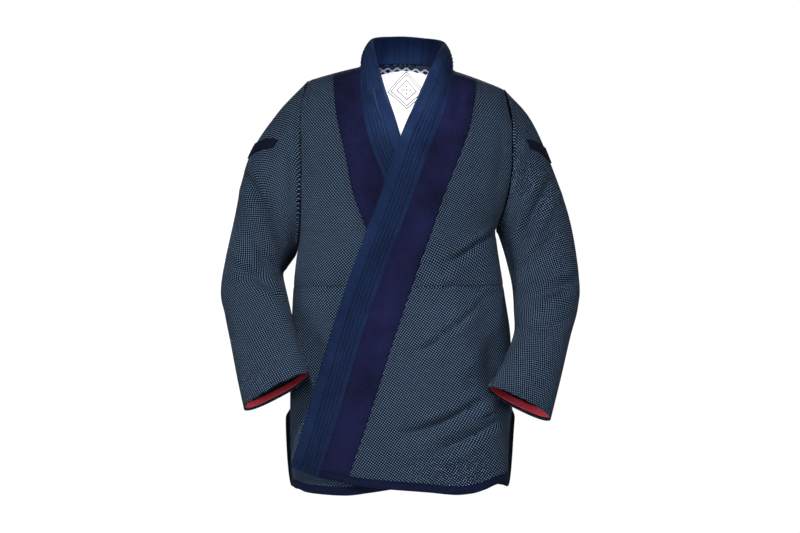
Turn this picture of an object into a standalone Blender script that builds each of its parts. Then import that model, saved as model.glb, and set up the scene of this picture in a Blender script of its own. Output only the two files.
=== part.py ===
# A jiu-jitsu gi jacket, filled out as if worn, in metres with Z up.
# The front faces -Y. The wearer's left is at +X and laps over the wearer's right.
# The origin is where the shoulders bear on the wearer.
import functools
import math

import bmesh
import bpy
import numpy as np

COLLECTION = "jiu_jitsu_gi_jacket"

# Walls and seams
CLOTH = 0.0020
SEAM_GAP = 0.0004
SHOULDER_GAP = 0.0005
LAYER_GAP = 0.0010
TAPE_GAP = 0.0006

# Lapel, bands and tapes
LAPEL_WIDTH = 0.050
LAPEL_THICK = 0.0070
LAPEL_PLAIN = 0.020
RIB_PITCH = 0.006
RIB_COUNT = 5
RIB_DEPTH = 0.0008
LAPEL_EDGE = 0.003
LAPEL_EASE = 0.0006
LAPEL_SEAM_SHARE = 0.75
LAPEL_EDGE_SHARE = 0.4
TAPE_WIDTH = 0.015
TAPE_THICK = 0.0036
TAPE_EDGE_SHARE = 0.7
CUFF_TAPE_WIDTH = 0.014
CUFF_TAPE_INSET = 0.003
CUFF_TAPE_THICK = 0.0012

# Layers and hems
LIFT = 0.0122
LIFT_EDGE = 0.004
LIFT_FADE = 0.045
LIFT_SIDE = (0.160, 0.182)
LIFT_TOP = (-0.115, -0.035)
WAIST = -0.3746
SLIT_TOP = -0.585
SLIT_STEP = 0.0006
LEFT_CORNER = (0.070, 0.045)
RIGHT_CORNER = (0.058, 0.040)
BACK_CORNER = (0.040, 0.034)

# Neck hole, seen from above
NECK_CENTRE = 0.005
NECK_HALF = 0.0815
NECK_DEPTH = 0.072

# Lining and label inside the back
LINING_THICK = 0.0010
LINING_HALF = 0.065
LINING_DROP = 0.006
LINING_GAP = 0.0020
LINING_BOTTOM = -0.175
LABEL_THICK = 0.0008
LABEL_GAP = 0.0015
LABEL_HALF = 0.060
LABEL_TOP = -0.026
LABEL_BOTTOM = -0.124

# Sleeve patches, as a stretch of the sleeve at its outer edge and a part of the turn round it.
# The bend keeps a patch level while the sleeve's rings slant.
PATCH_THICK = 0.0012
PATCH_STRETCH = {"right": (1.72, 2.00), "left": (1.72, 2.00)}
PATCH_TURN = (-0.06, 0.155)
PATCH_BEND = 1.7

# The torso by level. "right" and "left" are the wearer's. h runs along the cloth from the hem to the
# shoulder ridge. k is how deep the row still is where the side or the armhole cuts it.
LEVEL_COLUMNS = (
    "h", "z_front", "z_back", "z_right", "z_left", "x_right", "x_left", "flare",
    "y_front", "y_back", "k_front", "k_back", "power",
)
LEVELS = (
    (-0.760, -0.760, -0.760, -0.760, -0.760, 0.190, 0.176, 0.006, -0.131, 0.127, 0.24, 0.18, 4.4),
    (-0.660, -0.660, -0.660, -0.660, -0.660, 0.195, 0.180, 0.010, -0.130, 0.126, 0.17, 0.13, 4.1),
    (-0.605, -0.605, -0.605, -0.605, -0.605, 0.197, 0.184, 0.009, -0.127, 0.123, 0.06, 0.05, 3.7),
    (-0.585, -0.585, -0.585, -0.585, -0.585, 0.197, 0.187, 0.000, -0.126, 0.121, 0.00, 0.00, 3.7),
    (-0.470, -0.470, -0.470, -0.470, -0.470, 0.196, 0.185, 0.000, -0.120, 0.113, 0.00, 0.00, 3.2),
    (-0.380, -0.380, -0.380, -0.380, -0.380, 0.192, 0.173, 0.000, -0.119, 0.112, 0.00, 0.00, 3.0),
    (-0.300, -0.296, -0.296, -0.309, -0.278, 0.184, 0.159, 0.000, -0.122, 0.116, 0.00, 0.00, 2.9),
    (-0.283, -0.281, -0.280, -0.300, -0.268, 0.182, 0.162, 0.000, -0.123, 0.117, 0.27, 0.30, 2.8),
    (-0.240, -0.240, -0.235, -0.262, -0.235, 0.178, 0.173, 0.000, -0.125, 0.118, 0.46, 0.50, 2.7),
    (-0.160, -0.160, -0.150, -0.180, -0.170, 0.176, 0.185, 0.000, -0.119, 0.116, 0.58, 0.62, 2.6),
    (-0.080, -0.082, -0.051, -0.098, -0.103, 0.178, 0.186, 0.000, -0.098, 0.103, 0.64, 0.66, 2.5),
    (-0.020, -0.022, 0.016, -0.042, -0.053, 0.173, 0.180, 0.000, -0.061, 0.078, 0.67, 0.67, 2.4),
    (0.015, 0.007, 0.0255, -0.021, -0.035, 0.168, 0.175, 0.000, -0.027, 0.043, 0.68, 0.68, 2.4),
    (0.045, 0.020, 0.020, -0.015, -0.030, 0.166, 0.173, 0.000, 0.006, 0.006, 0.68, 0.68, 2.4),
)
ARMPIT = -0.300
RIDGE = 0.045
EDGE_DROP = 1.5

# Lines across the fronts, as height and the place across
LEFT_SEAM = (
    (-0.695, -0.1430), (-0.599, -0.1133), (-0.464, -0.0745), (-0.329, -0.0289), (-0.2278, 0.0099),
    (-0.1266, 0.0453), (-0.0929, 0.0588), (-0.050, 0.0715), (0.001, 0.0865),
)
LEFT_BAND = (
    (-0.700, -0.0945), (-0.599, -0.0601), (-0.464, -0.0171), (-0.329, 0.0284), (-0.2278, 0.0639),
    (-0.1435, 0.0976), (-0.0929, 0.1145), (-0.0198, 0.1259), (0.000, 0.1280),
)
RIGHT_SEAM = (
    (-0.700, 0.0885), (-0.500, 0.0450), (-0.329, 0.0065), (-0.1924, -0.0306), (-0.1435, -0.0509),
    (-0.0929, -0.0644), (-0.050, -0.0725), (0.0081, -0.0765),
)
RIGHT_BAND = (
    (-0.700, 0.0480), (-0.500, 0.0005), (-0.287, -0.0610), (-0.211, -0.0880), (-0.152, -0.0998),
    (-0.076, -0.1167), (-0.018, -0.1226), (0.010, -0.1235),
)
UNDER_EDGE = ((-0.700, 0.156), (-0.500, 0.103), (-0.329, 0.062), (-0.1924, 0.025), (-0.120, 0.010))

# Hem of each front, as the place across and the height
LEFT_HEM = (
    (-0.190, -0.687), (-0.145, -0.6951), (-0.108, -0.7019), (-0.083, -0.7086), (-0.041, -0.7137),
    (0.044, -0.7204), (0.089, -0.7244), (0.113, -0.7222), (0.133, -0.7160), (0.148, -0.7090),
    (0.165, -0.7050), (0.190, -0.7050),
)
RIGHT_HEM = (
    (-0.195, -0.7190), (-0.180, -0.7190), (-0.168, -0.7225), (-0.152, -0.7244), (-0.100, -0.7268),
    (-0.058, -0.7220), (0.000, -0.7130), (0.105, -0.7000), (0.160, -0.6920),
)
BACK_HEM = ((-0.205, -0.731), (0.190, -0.731))

# How far the lapel stands up from the cloth beside it, in degrees, and how far it rolls outward between
# its edges, by height on the front
LAPEL_STAND = ((-0.700, 0.0), (-0.135, 0.0), (-0.108, 12.0), (-0.078, 29.0), (-0.042, 45.0), (0.008, 58.0))
LAPEL_ROLL = ((-0.700, 0.0), (-0.090, 0.0), (-0.045, 0.0020), (-0.010, 0.0050), (0.008, 0.0065))
BACK_STAND = 69.0
BACK_ROLL = 0.0020

# Sleeves: outer and inner points of each ring as seen from the front, its depth and its forward lean
SLEEVE_COLUMNS = ("outer_x", "outer_z", "inner_x", "inner_z", "y", "half_depth", "lean", "power")
SLEEVES = {
    "right": (
        (-0.2220, -0.0740, -0.1905, -0.3200, 0.005, 0.073, 0.0, 2.2),
        (-0.2710, -0.1520, -0.1985, -0.3320, 0.003, 0.068, 0.0, 2.2),
        (-0.2955, -0.2580, -0.2060, -0.3430, -0.003, 0.064, 3.0, 2.2),
        (-0.3168, -0.3739, -0.2108, -0.3548, -0.022, 0.059, 8.0, 2.2),
        (-0.3080, -0.4250, -0.2010, -0.3950, -0.046, 0.056, 13.0, 2.2),
        (-0.2960, -0.4730, -0.1905, -0.4330, -0.075, 0.053, 16.0, 2.2),
        (-0.2812, -0.5320, -0.1750, -0.4800, -0.115, 0.048, 17.0, 2.3),
        (-0.2679, -0.5790, -0.1582, -0.5210, -0.150, 0.044, 17.0, 2.3),
    ),
    "left": (
        (0.2200, -0.0820, 0.1675, -0.2880, 0.005, 0.073, 0.0, 2.2),
        (0.2555, -0.1600, 0.1755, -0.3130, 0.003, 0.068, 0.0, 2.2),
        (0.2890, -0.2610, 0.1825, -0.3400, -0.003, 0.064, 3.0, 2.2),
        (0.3035, -0.3640, 0.1890, -0.3740, -0.022, 0.059, 8.0, 2.2),
        (0.2985, -0.4150, 0.1905, -0.4150, -0.048, 0.055, 13.0, 2.2),
        (0.2840, -0.4600, 0.1885, -0.4560, -0.077, 0.052, 16.0, 2.2),
        (0.2630, -0.5320, 0.1665, -0.5020, -0.125, 0.047, 17.0, 2.3),
        (0.2438, -0.5950, 0.1401, -0.5430, -0.165, 0.043, 17.0, 2.3),
    ),
}
SLEEVE_START = 0.0013
ARMPIT_START = 0.0030

# One sleeve is two solids that meet at the elbow, a place along it, so that each is a plain tube
ELBOW = 3.5
ELBOW_GAP = 0.010
LAST_STRETCH = 0.060

# The largest folds, seen from the front: two ends, half width and height, all in metres
FOLD_COLUMNS = ("x0", "z0", "x1", "z1", "width", "height")
FRONT_FOLDS = (
    (0.112, -0.575, 0.055, -0.590, 0.010, 0.0030),
    (0.055, -0.590, -0.010, -0.630, 0.012, 0.0035),
    (0.130, -0.600, 0.055, -0.650, 0.011, 0.0025),
    (0.135, -0.305, 0.065, -0.355, 0.011, 0.0025),
    (0.130, -0.395, 0.095, -0.435, 0.011, 0.0022),
    (0.065, -0.455, 0.020, -0.485, 0.012, 0.0022),
    (-0.165, -0.120, -0.160, -0.230, 0.011, -0.0028),
    (0.168, -0.110, 0.160, -0.200, 0.011, -0.0028),
)
BACK_FOLDS = (
    (-0.120, -0.330, -0.030, -0.400, 0.013, 0.0028),
    (0.110, -0.320, 0.030, -0.390, 0.013, 0.0028),
    (-0.150, -0.120, -0.145, -0.230, 0.012, -0.0028),
    (0.155, -0.120, 0.150, -0.230, 0.012, -0.0028),
    (0.100, -0.560, 0.010, -0.620, 0.013, 0.0025),
)
SLEEVE_FOLDS = {
    "right": (
        (-0.278, -0.180, -0.215, -0.300, 0.012, 0.0045),
        (-0.262, -0.235, -0.222, -0.320, 0.010, -0.0040),
        (-0.300, -0.345, -0.212, -0.352, 0.009, -0.0050),
        (-0.312, -0.365, -0.262, -0.335, 0.011, 0.0040),
        (-0.300, -0.385, -0.215, -0.400, 0.010, 0.0035),
        (-0.208, -0.110, -0.205, -0.230, 0.010, 0.0035),
    ),
    "left": (
        (0.255, -0.190, 0.200, -0.310, 0.012, 0.0045),
        (0.275, -0.260, 0.200, -0.345, 0.010, -0.0040),
        (0.290, -0.385, 0.195, -0.390, 0.009, -0.0045),
        (0.295, -0.345, 0.235, -0.350, 0.011, 0.0035),
        (0.285, -0.425, 0.205, -0.440, 0.010, 0.0035),
        (0.205, -0.130, 0.195, -0.235, 0.010, 0.0035),
    ),
}

# Where the sleeve folds fade: along from the armhole, and as the cloth turns away from the front
SLEEVE_FOLD_FADE = 0.8
SLEEVE_FOLD_FACING = (-0.1, 0.6)

# Mesh density
COLUMNS = {"back": 24, "front": 8, "skirt": 11, "band": 3, "lining": 10, "label": 6, "tape": 14, "patch": 8}
ROWS = {"upper": 16, "skirt": 7, "slit": 4, "corner": 4, "band": 28, "lining": 12, "label": 6, "patch": 2}
UPPER_CROWDING = 1.4
SLEEVE_AROUND = 28
SLEEVE_ALONG = {"upper": 10, "lower": 12}
PATCH_AROUND = 200
PATCH_STEP = 0.05
LAPEL_STEPS = {"front": 25, "neck": 13}
LAPEL_PARTING = 0.02  # of a step, between the lapel's solids
ROW_SAMPLES = 200
FACING_STEP = 0.004
SHARP_DEGREES = 50

# Colours in sRGB, roughness
COLOURS = {
    "pearl_weave": ("#35424F", 0.85),
    "purple_navy_twill": ("#16134A", 0.75),
    "navy_twill": ("#17275A", 0.75),
    "navy_tape": ("#16163C", 0.70),
    "red_tape": ("#C02D38", 0.70),
    "white_label": ("#E8E8EC", 0.60),
    "navy_lining": ("#1B2550", 0.60),
    "navy_patch": ("#14183C", 0.80),
}


def linear(code):
    channels = [int(code[i:i + 2], 16) / 255 for i in (1, 3, 5)]
    return [c / 12.92 if c <= 0.04045 else ((c + 0.055) / 1.055) ** 2.4 for c in channels] + [1.0]


def hermite(knots, values, at, slopes):
    """A smooth curve through the values, held straight past its ends."""
    i = np.clip(np.searchsorted(knots, at) - 1, 0, len(knots) - 2)
    span = knots[i + 1] - knots[i]
    t = np.clip((at - knots[i]) / span, 0.0, 1.0)
    smooth = (
        (2 * t**3 - 3 * t**2 + 1) * values[i]
        + (t**3 - 2 * t**2 + t) * span * slopes[i]
        + (3 * t**2 - 2 * t**3) * values[i + 1]
        + (t**3 - t**2) * span * slopes[i + 1]
    )
    beyond = at - np.clip(at, knots[0], knots[-1])
    return smooth + beyond * (slopes[0] if at < knots[0] else slopes[-1])


def steady(knots, values, at):
    """The same through a table's values, never swinging past them between two rows."""
    steps = np.diff(values) / np.diff(knots)
    slopes = np.concatenate((steps[:1], steps, steps[-1:]))
    before, after = slopes[:-1], slopes[1:]
    same = before * after > 0
    mean = np.where(same, 2 * before * after / np.where(same, before + after, 1.0), 0.0)
    mean[0], mean[-1] = steps[0], steps[-1]
    return float(hermite(knots, values, at, mean))


def curve(table, at):
    knots, values = np.array(sorted(table)).T
    return steady(knots, values, at)


def smoothstep(low, high, value):
    t = np.clip((value - low) / (high - low), 0.0, 1.0)
    return t * t * (3 - 2 * t)


def level(h):
    table = np.array(LEVELS).T
    return {name: steady(table[0], table[i], h) for i, name in enumerate(LEVEL_COLUMNS)}


@functools.lru_cache(maxsize=None)
def row(face, h):
    """Points along one row of the torso from the wearer's right to left, and the length of cloth to each."""
    v = level(h)
    deep = v["k_" + face]
    halves = []
    for side, sign in (("right", -1), ("left", 1)):
        edge = v["x_" + side] + (v["flare"] if face == "back" else 0.0)
        whole = edge / (1 - deep ** v["power"]) ** (1 / v["power"])
        last = math.asin((edge / whole) ** (v["power"] / 2))
        turn = np.linspace(0, last, ROW_SAMPLES)
        x = whole * np.sin(turn) ** (2 / v["power"])
        y = v["y_" + face] * np.cos(turn) ** (2 / v["power"])
        z = v["z_" + face] + (v["z_" + side] - v["z_" + face]) * (x / edge) ** EDGE_DROP
        halves.append(np.column_stack((sign * x, y, z)))
    points = np.vstack((halves[0][:0:-1], halves[1]))
    steps = np.linalg.norm(np.diff(points, axis=0), axis=1)
    return points, np.concatenate(([0.0], np.cumsum(steps)))


def place(face, h, arcs):
    points, lengths = row(face, round(h, 6))
    return np.column_stack([np.interp(arcs, lengths, points[:, i]) for i in range(3)])


def arc_at(face, h, x):
    points, lengths = row(face, round(h, 6))
    return float(np.interp(x, points[:, 0], lengths))


def line_arc(face, table):
    """A row's length of cloth as far as a line across the panel."""
    def arc(h):
        points, lengths = row(face, round(h, 6))
        z = h
        for _ in range(4):
            x = curve(table, z)
            z = float(np.interp(x, points[:, 0], points[:, 2]))
        return float(np.interp(x, points[:, 0], lengths))
    return arc


def edge_arc(face, side):
    """A panel's edge at the side seam, the armhole or a slit's tape."""
    def arc(h, inset=SEAM_GAP / 2):
        whole = row(face, round(h, 6))[1][-1]
        return inset if side == "right" else whole - inset
    return arc


def folds(table, x, z):
    height = np.zeros_like(x)
    for values in table:
        v = dict(zip(FOLD_COLUMNS, values))
        run_x, run_z = v["x1"] - v["x0"], v["z1"] - v["z0"]
        from_x, from_z = x - v["x0"], z - v["z0"]
        t = np.clip((from_x * run_x + from_z * run_z) / (run_x**2 + run_z**2), 0.0, 1.0)
        away = np.hypot(from_x - t * run_x, from_z - t * run_z)
        height += v["height"] * np.exp(-((away / v["width"]) ** 2))
    return height


def top_lift(x, z):
    """How far the wearer's left front stands off, to lie over the right one and its lapel."""
    edge = np.array([curve(UNDER_EDGE, at) for at in z.ravel()]).reshape(z.shape)
    across = 1 - smoothstep(edge + LIFT_EDGE, edge + LIFT_EDGE + LIFT_FADE, x)
    return LIFT * across * (1 - smoothstep(*LIFT_SIDE, x)) * (1 - smoothstep(*LIFT_TOP, z))


def normals(grid, sign):
    across = np.gradient(grid, axis=1)
    up = np.gradient(grid, axis=0)
    facing = np.cross(across, up) * sign
    return facing / np.linalg.norm(facing, axis=2, keepdims=True)


def raise_grid(grid, face, on_top, offset=0.0):
    """Moves a panel's points out by the folds, the lift of the top front and an offset."""
    table = FRONT_FOLDS if face == "front" else BACK_FOLDS
    out = folds(table, grid[:, :, 0], grid[:, :, 2]) + offset
    if on_top:
        out = out + top_lift(grid[:, :, 0], grid[:, :, 2])
    sign = 1 if face == "front" else -1
    return grid + normals(grid, sign) * out[:, :, None]


def panel(face, heights, start, end, columns, on_top=False):
    share = np.linspace(0, 1, columns + 1)
    rows = [place(face, h, start(h) + (end(h) - start(h)) * share) for h in heights]
    return raise_grid(np.array(rows), face, on_top)


def hemmed(face, top, rows, start, end, hem, columns, on_top=False):
    """A panel down to its hem's tape. Each row has a share of the way down and an inset at the slit edge."""
    cut = TAPE_WIDTH + TAPE_GAP
    grid = []
    for down, inset in rows:
        line = []
        for across in np.linspace(0, 1, columns + 1):
            x = 0.0
            for _ in range(5):
                h = top + down * (curve(hem, x) + cut - top)
                arc = start(h, inset) * (1 - across) + end(h, inset) * across
                x = place(face, h, [arc])[0][0]
            line.append(place(face, h, [arc])[0])
        grid.append(line)
    return raise_grid(np.array(grid[::-1]), face, on_top)


def slit_heights(low, corner):
    """Heights up a slit from its corner, the same for the panel and its tape."""
    return np.linspace(low + corner[1], SLIT_TOP - 2 * SLIT_STEP, ROWS["slit"] + 1)


def round_corner(corner, cut, turn):
    """Distances in from the slit edge and up from the hem, at a turn round a corner cut back by a tape."""
    across, up = corner
    return across - (across - cut) * math.cos(turn), up - (up - cut) * math.sin(turn)


def slit_rows(top, low, corner):
    """Rows of a panel with a slit: plain to the slit's top, beside its tape, and round the hem's corner."""
    cut = TAPE_WIDTH + TAPE_GAP
    whole = low + cut - top
    rows = [((z - top) / whole, SEAM_GAP / 2) for z in np.linspace(top, SLIT_TOP, ROWS["skirt"])]
    slit = slit_heights(low, corner)
    rows += [((z - top) / whole, cut) for z in [SLIT_TOP - SLIT_STEP, *slit[:0:-1]]]
    for turn in np.radians(np.linspace(0, 90, ROWS["corner"] + 1)[1:]):
        inset, up = round_corner(corner, cut, turn)
        rows.append(((low + up - top) / whole, inset))
    return rows


def new_object(name, mesh, colour):
    obj = bpy.data.objects.new(name, mesh)
    collection = bpy.data.collections.get(COLLECTION)
    collection.objects.link(obj)
    material = bpy.data.materials.get(colour)
    if material is None:
        code, roughness = COLOURS[colour]
        material = bpy.data.materials.new(colour)
        material.use_nodes = True
        shader = material.node_tree.nodes["Principled BSDF"]
        shader.inputs["Base Color"].default_value = linear(code)
        shader.inputs["Roughness"].default_value = roughness
        shader.inputs["Metallic"].default_value = 0.0
    mesh.materials.append(material)
    mesh.shade_smooth()
    mesh.set_sharp_from_angle(angle=math.radians(SHARP_DEGREES))
    return obj


def grid_mesh(name, points):
    """A grid of faces, one vertex at each of the points given by row and column."""
    rows, columns = points.shape[:2]
    bm = bmesh.new()
    bmesh.ops.create_grid(bm, x_segments=columns - 1, y_segments=rows - 1, size=1)
    for vert, at in zip(bm.verts, points.reshape(-1, 3)):
        vert.co = at
    mesh = bpy.data.meshes.new(name)
    bm.to_mesh(mesh)
    bm.free()
    return mesh


def cloth(name, points, thick, colour, flip=False):
    """A cloth wall about a grid of points, half its thickness to each side."""
    obj = new_object(name, grid_mesh(name, points[:, ::-1] if flip else points), colour)
    wall = obj.modifiers.new("wall", "SOLIDIFY")
    wall.thickness = thick
    wall.offset = 0.0
    return obj


def tube(name, rings, thick, colour):
    """A cloth wall round closed rings, open at both ends."""
    closed = np.concatenate((rings, rings[:, :1]), axis=1)
    obj = new_object(name, grid_mesh(name, closed), colour)
    bm = bmesh.new()
    bm.from_mesh(obj.data)
    bmesh.ops.remove_doubles(bm, verts=bm.verts, dist=1e-6)
    bmesh.ops.recalc_face_normals(bm, faces=bm.faces)
    bm.to_mesh(obj.data)
    bm.free()
    wall = obj.modifiers.new("wall", "SOLIDIFY")
    wall.thickness = thick
    wall.offset = 0.0
    return obj


def sweep(name, sections, colour):
    """A solid strip through closed sections, with a face at each end."""
    closed = np.concatenate((sections, sections[:, :1]), axis=1)
    obj = new_object(name, grid_mesh(name, closed), colour)
    bm = bmesh.new()
    bm.from_mesh(obj.data)
    bmesh.ops.remove_doubles(bm, verts=bm.verts, dist=1e-6)
    bmesh.ops.holes_fill(bm, edges=bm.edges, sides=sections.shape[1])
    bmesh.ops.recalc_face_normals(bm, faces=bm.faces)
    bm.to_mesh(obj.data)
    bm.free()
    obj.data.shade_smooth()
    obj.data.set_sharp_from_angle(angle=math.radians(SHARP_DEGREES))
    return obj


def unit(vectors):
    return vectors / np.linalg.norm(vectors, axis=-1, keepdims=True)


def neck_point(angle):
    """Where the neck seam crosses the back, by its angle round the neck hole from the wearer's left."""
    x = NECK_CENTRE + NECK_HALF * math.cos(angle)
    return x, level_of_neck(x)


@functools.lru_cache(maxsize=None)
def level_of_neck(x):
    """The level at which a line down the back meets the neck seam."""
    across = min(abs(x - NECK_CENTRE) / NECK_HALF, 1.0)
    depth = NECK_DEPTH * math.sqrt(1 - across**2)
    low, high = -0.10, RIDGE
    for _ in range(30):
        middle = (low + high) / 2
        points, _ = row("back", round(middle, 6))
        if np.interp(x, points[:, 0], points[:, 1]) > depth:
            low = middle
        else:
            high = middle
    return (low + high) / 2


def lapel_path():
    """Seam points of the lapel, the cloth's own facing there, and the strip's stand and roll."""
    points, facing, stand, roll = [], [], [], []

    def add(face, h, arc, on_top, degrees, rolled):
        arcs = [arc - FACING_STEP, arc, arc + FACING_STEP]
        block = np.array([place(face, h + rise, arcs) for rise in (-FACING_STEP, 0.0, FACING_STEP)])
        sign = 1 if face == "front" else -1
        points.append(raise_grid(block, face, on_top)[1, 1])
        facing.append(normals(block, sign)[1, 1])
        stand.append(degrees)
        roll.append(rolled)

    def add_front(seam, low, high, on_top):
        for h in np.linspace(low, high, LAPEL_STEPS["front"]):
            arc = line_arc("front", seam)(h)
            z = place("front", h, [arc])[0][2]
            add("front", h, arc, on_top, curve(LAPEL_STAND, z), curve(LAPEL_ROLL, z))

    add_front(LEFT_SEAM, LEFT_SEAM[0][0], RIDGE - FACING_STEP, True)
    for angle in np.linspace(0, math.pi, LAPEL_STEPS["neck"] + 2)[1:-1]:
        x, h = neck_point(angle)
        back = math.sin(angle) ** 2
        degrees = LAPEL_STAND[-1][1] * (1 - back) + BACK_STAND * back
        add("back", h, arc_at("back", h, x), False, degrees, LAPEL_ROLL[-1][1] * (1 - back) + BACK_ROLL * back)
    add_front(RIGHT_SEAM, RIDGE - FACING_STEP, RIGHT_SEAM[0][0], False)
    return np.array(points), np.array(facing), np.array(stand), np.array(roll)


def soften(values, times):
    """Evens out a row of vectors along the path, its two ends held."""
    for _ in range(times):
        values[1:-1] = (values[:-2] + 2 * values[1:-1] + values[2:]) / 4
    return values


def lapel_frames():
    """The lapel's seam line, the ways across the strip and out of it, and its roll."""
    points, facing, stand, roll = lapel_path()
    facing = unit(soften(facing, 3))
    stand = np.radians(soften(stand, 2))[:, None]
    roll = soften(roll, 2)[:, None]
    along = unit(np.gradient(points, axis=0))
    flat = unit(np.cross(facing, along))
    across = flat * np.cos(stand) + facing * np.sin(stand)
    out = facing * np.cos(stand) - flat * np.sin(stand)
    lean = stand + np.arctan(4 * roll / LAPEL_WIDTH)
    base = points + flat * (SEAM_GAP + LAPEL_THICK / 2 * np.sin(lean))
    return base, across, out, roll


def rolled(frames, w, n):
    """A line along the lapel at a distance from its seam and from its middle, bowed outward by the roll."""
    base, across, out, roll = frames
    share = w / LAPEL_WIDTH
    slope = 4 * roll / LAPEL_WIDTH * (1 - 2 * share)
    long = np.sqrt(1 + slope**2)
    chord = 1 - 8 / 3 * (roll / LAPEL_WIDTH) ** 2
    return base + across * (w * chord - n * slope / long) + out * (4 * roll * share * (1 - share) + n / long)


def lapel_section():
    """The strip's section, as distance from the seam and from its middle: ribs outside, plain inside."""
    half = LAPEL_THICK / 2
    edge = LAPEL_EDGE_SHARE * half
    section = [(0.0, 0.0), (LAPEL_EASE, LAPEL_SEAM_SHARE * half)]
    for rib in range(RIB_COUNT):
        crest = LAPEL_WIDTH - LAPEL_PLAIN - RIB_PITCH * (RIB_COUNT - rib - 0.5)
        section += [(crest, half), (crest + RIB_PITCH / 2, half - RIB_DEPTH)]
    section += [(LAPEL_WIDTH - LAPEL_PLAIN + RIB_PITCH / 3, half), (LAPEL_WIDTH - LAPEL_EDGE, half)]
    section += [(LAPEL_WIDTH, edge), (LAPEL_WIDTH, -edge), (LAPEL_WIDTH - LAPEL_EDGE, -half)]
    section += [(LAPEL_WIDTH / 2, -half), (LAPEL_EASE, -half)]
    return section


def build_lapel():
    """One cut strip, parted at the shoulders so that the piece round the neck is a node of its own."""
    frames = lapel_frames()
    sections = np.array([rolled(frames, w, n) for w, n in lapel_section()]).transpose(1, 0, 2)
    last = len(sections) - 1
    first_part = LAPEL_STEPS["front"] - 0.5
    second_part = last - first_part
    for name, start, end in (
        ("lapel_left", 0, first_part - LAPEL_PARTING),
        ("lapel_neck", first_part + LAPEL_PARTING, second_part - LAPEL_PARTING),
        ("lapel_right", second_part + LAPEL_PARTING, last),
    ):
        between = np.arange(math.floor(start) + 1, math.ceil(end))
        stations = np.concatenate(([start], between, [end]))
        low = np.minimum(stations.astype(int), last - 1)
        share = (stations - low)[:, None, None]
        sweep(name, sections[low] * (1 - share) + sections[low + 1] * share, "navy_twill")


def crowded(count):
    """Rows from 0 to 1 that crowd toward the shoulder, where the cloth turns over."""
    return 1 - (1 - np.linspace(0, 1, count + 1)) ** UPPER_CROWDING


def build_back():
    top_row, _ = row("back", RIDGE)
    low = WAIST + SEAM_GAP / 2
    grid = []
    for rise in crowded(ROWS["upper"]):
        line = []
        for share in np.linspace(-1, 1, COLUMNS["back"] + 1):
            x_top = share * (top_row[-1][0] if share > 0 else -top_row[0][0])
            in_neck = abs(x_top - NECK_CENTRE) < NECK_HALF
            high = level_of_neck(x_top) - SEAM_GAP if in_neck else RIDGE - SHOULDER_GAP
            h = low + rise * (high - low)
            line.append(place("back", h, [arc_of_share("back", h, share)])[0])
        grid.append(line)
    cloth("back_upper", raise_grid(np.array(grid), "back", False), CLOTH, "pearl_weave", flip=True)
    rows = slit_rows(WAIST - SEAM_GAP / 2, BACK_HEM[0][1], BACK_CORNER)
    skirt = hemmed("back", WAIST - SEAM_GAP / 2, rows, edge_arc("back", "right"), edge_arc("back", "left"),
                   BACK_HEM, COLUMNS["back"])
    cloth("back_skirt", skirt, CLOTH, "pearl_weave", flip=True)


def build_inside_back():
    """The lining's upper part, which shows in the neck, and the label sewn on it."""
    across = np.linspace(NECK_CENTRE - LINING_HALF, NECK_CENTRE + LINING_HALF, COLUMNS["lining"] + 1)
    grid = []
    for rise in crowded(ROWS["lining"]):
        heights = [LINING_BOTTOM + rise * (level_of_neck(x) - LINING_DROP - LINING_BOTTOM) for x in across]
        grid.append([place("back", h, [arc_at("back", h, x)])[0] for x, h in zip(across, heights)])
    inward = CLOTH / 2 + LINING_GAP + LINING_THICK / 2
    lining = raise_grid(np.array(grid), "back", False, -inward)
    cloth("back_lining", lining, LINING_THICK, "navy_lining", flip=True)
    inward += LINING_THICK / 2 + LABEL_GAP + LABEL_THICK / 2
    across = np.linspace(NECK_CENTRE - LABEL_HALF, NECK_CENTRE + LABEL_HALF, COLUMNS["label"] + 1)
    heights = np.linspace(LABEL_BOTTOM, LABEL_TOP, ROWS["label"] + 1)
    grid = [[place("back", h, [arc_at("back", h, x)])[0] for x in across] for h in heights]
    label = raise_grid(np.array(grid), "back", False, -inward)
    cloth("neck_label", label, LABEL_THICK, "white_label", flip=True)


def arc_of_share(face, h, share):
    """The length of cloth to a share of the row's half width, -1 and 1 being its two ends."""
    points, lengths = row(face, round(h, 6))
    middle = float(np.interp(0.0, points[:, 0], lengths))
    return middle + share * (lengths[-1] - middle if share > 0 else middle)


def line_arcs(table, by):
    """A front panel's edge beside a line, shifted across by half a seam gap."""
    arc = line_arc("front", table)
    return lambda h, inset=0.0: arc(h) + by


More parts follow.
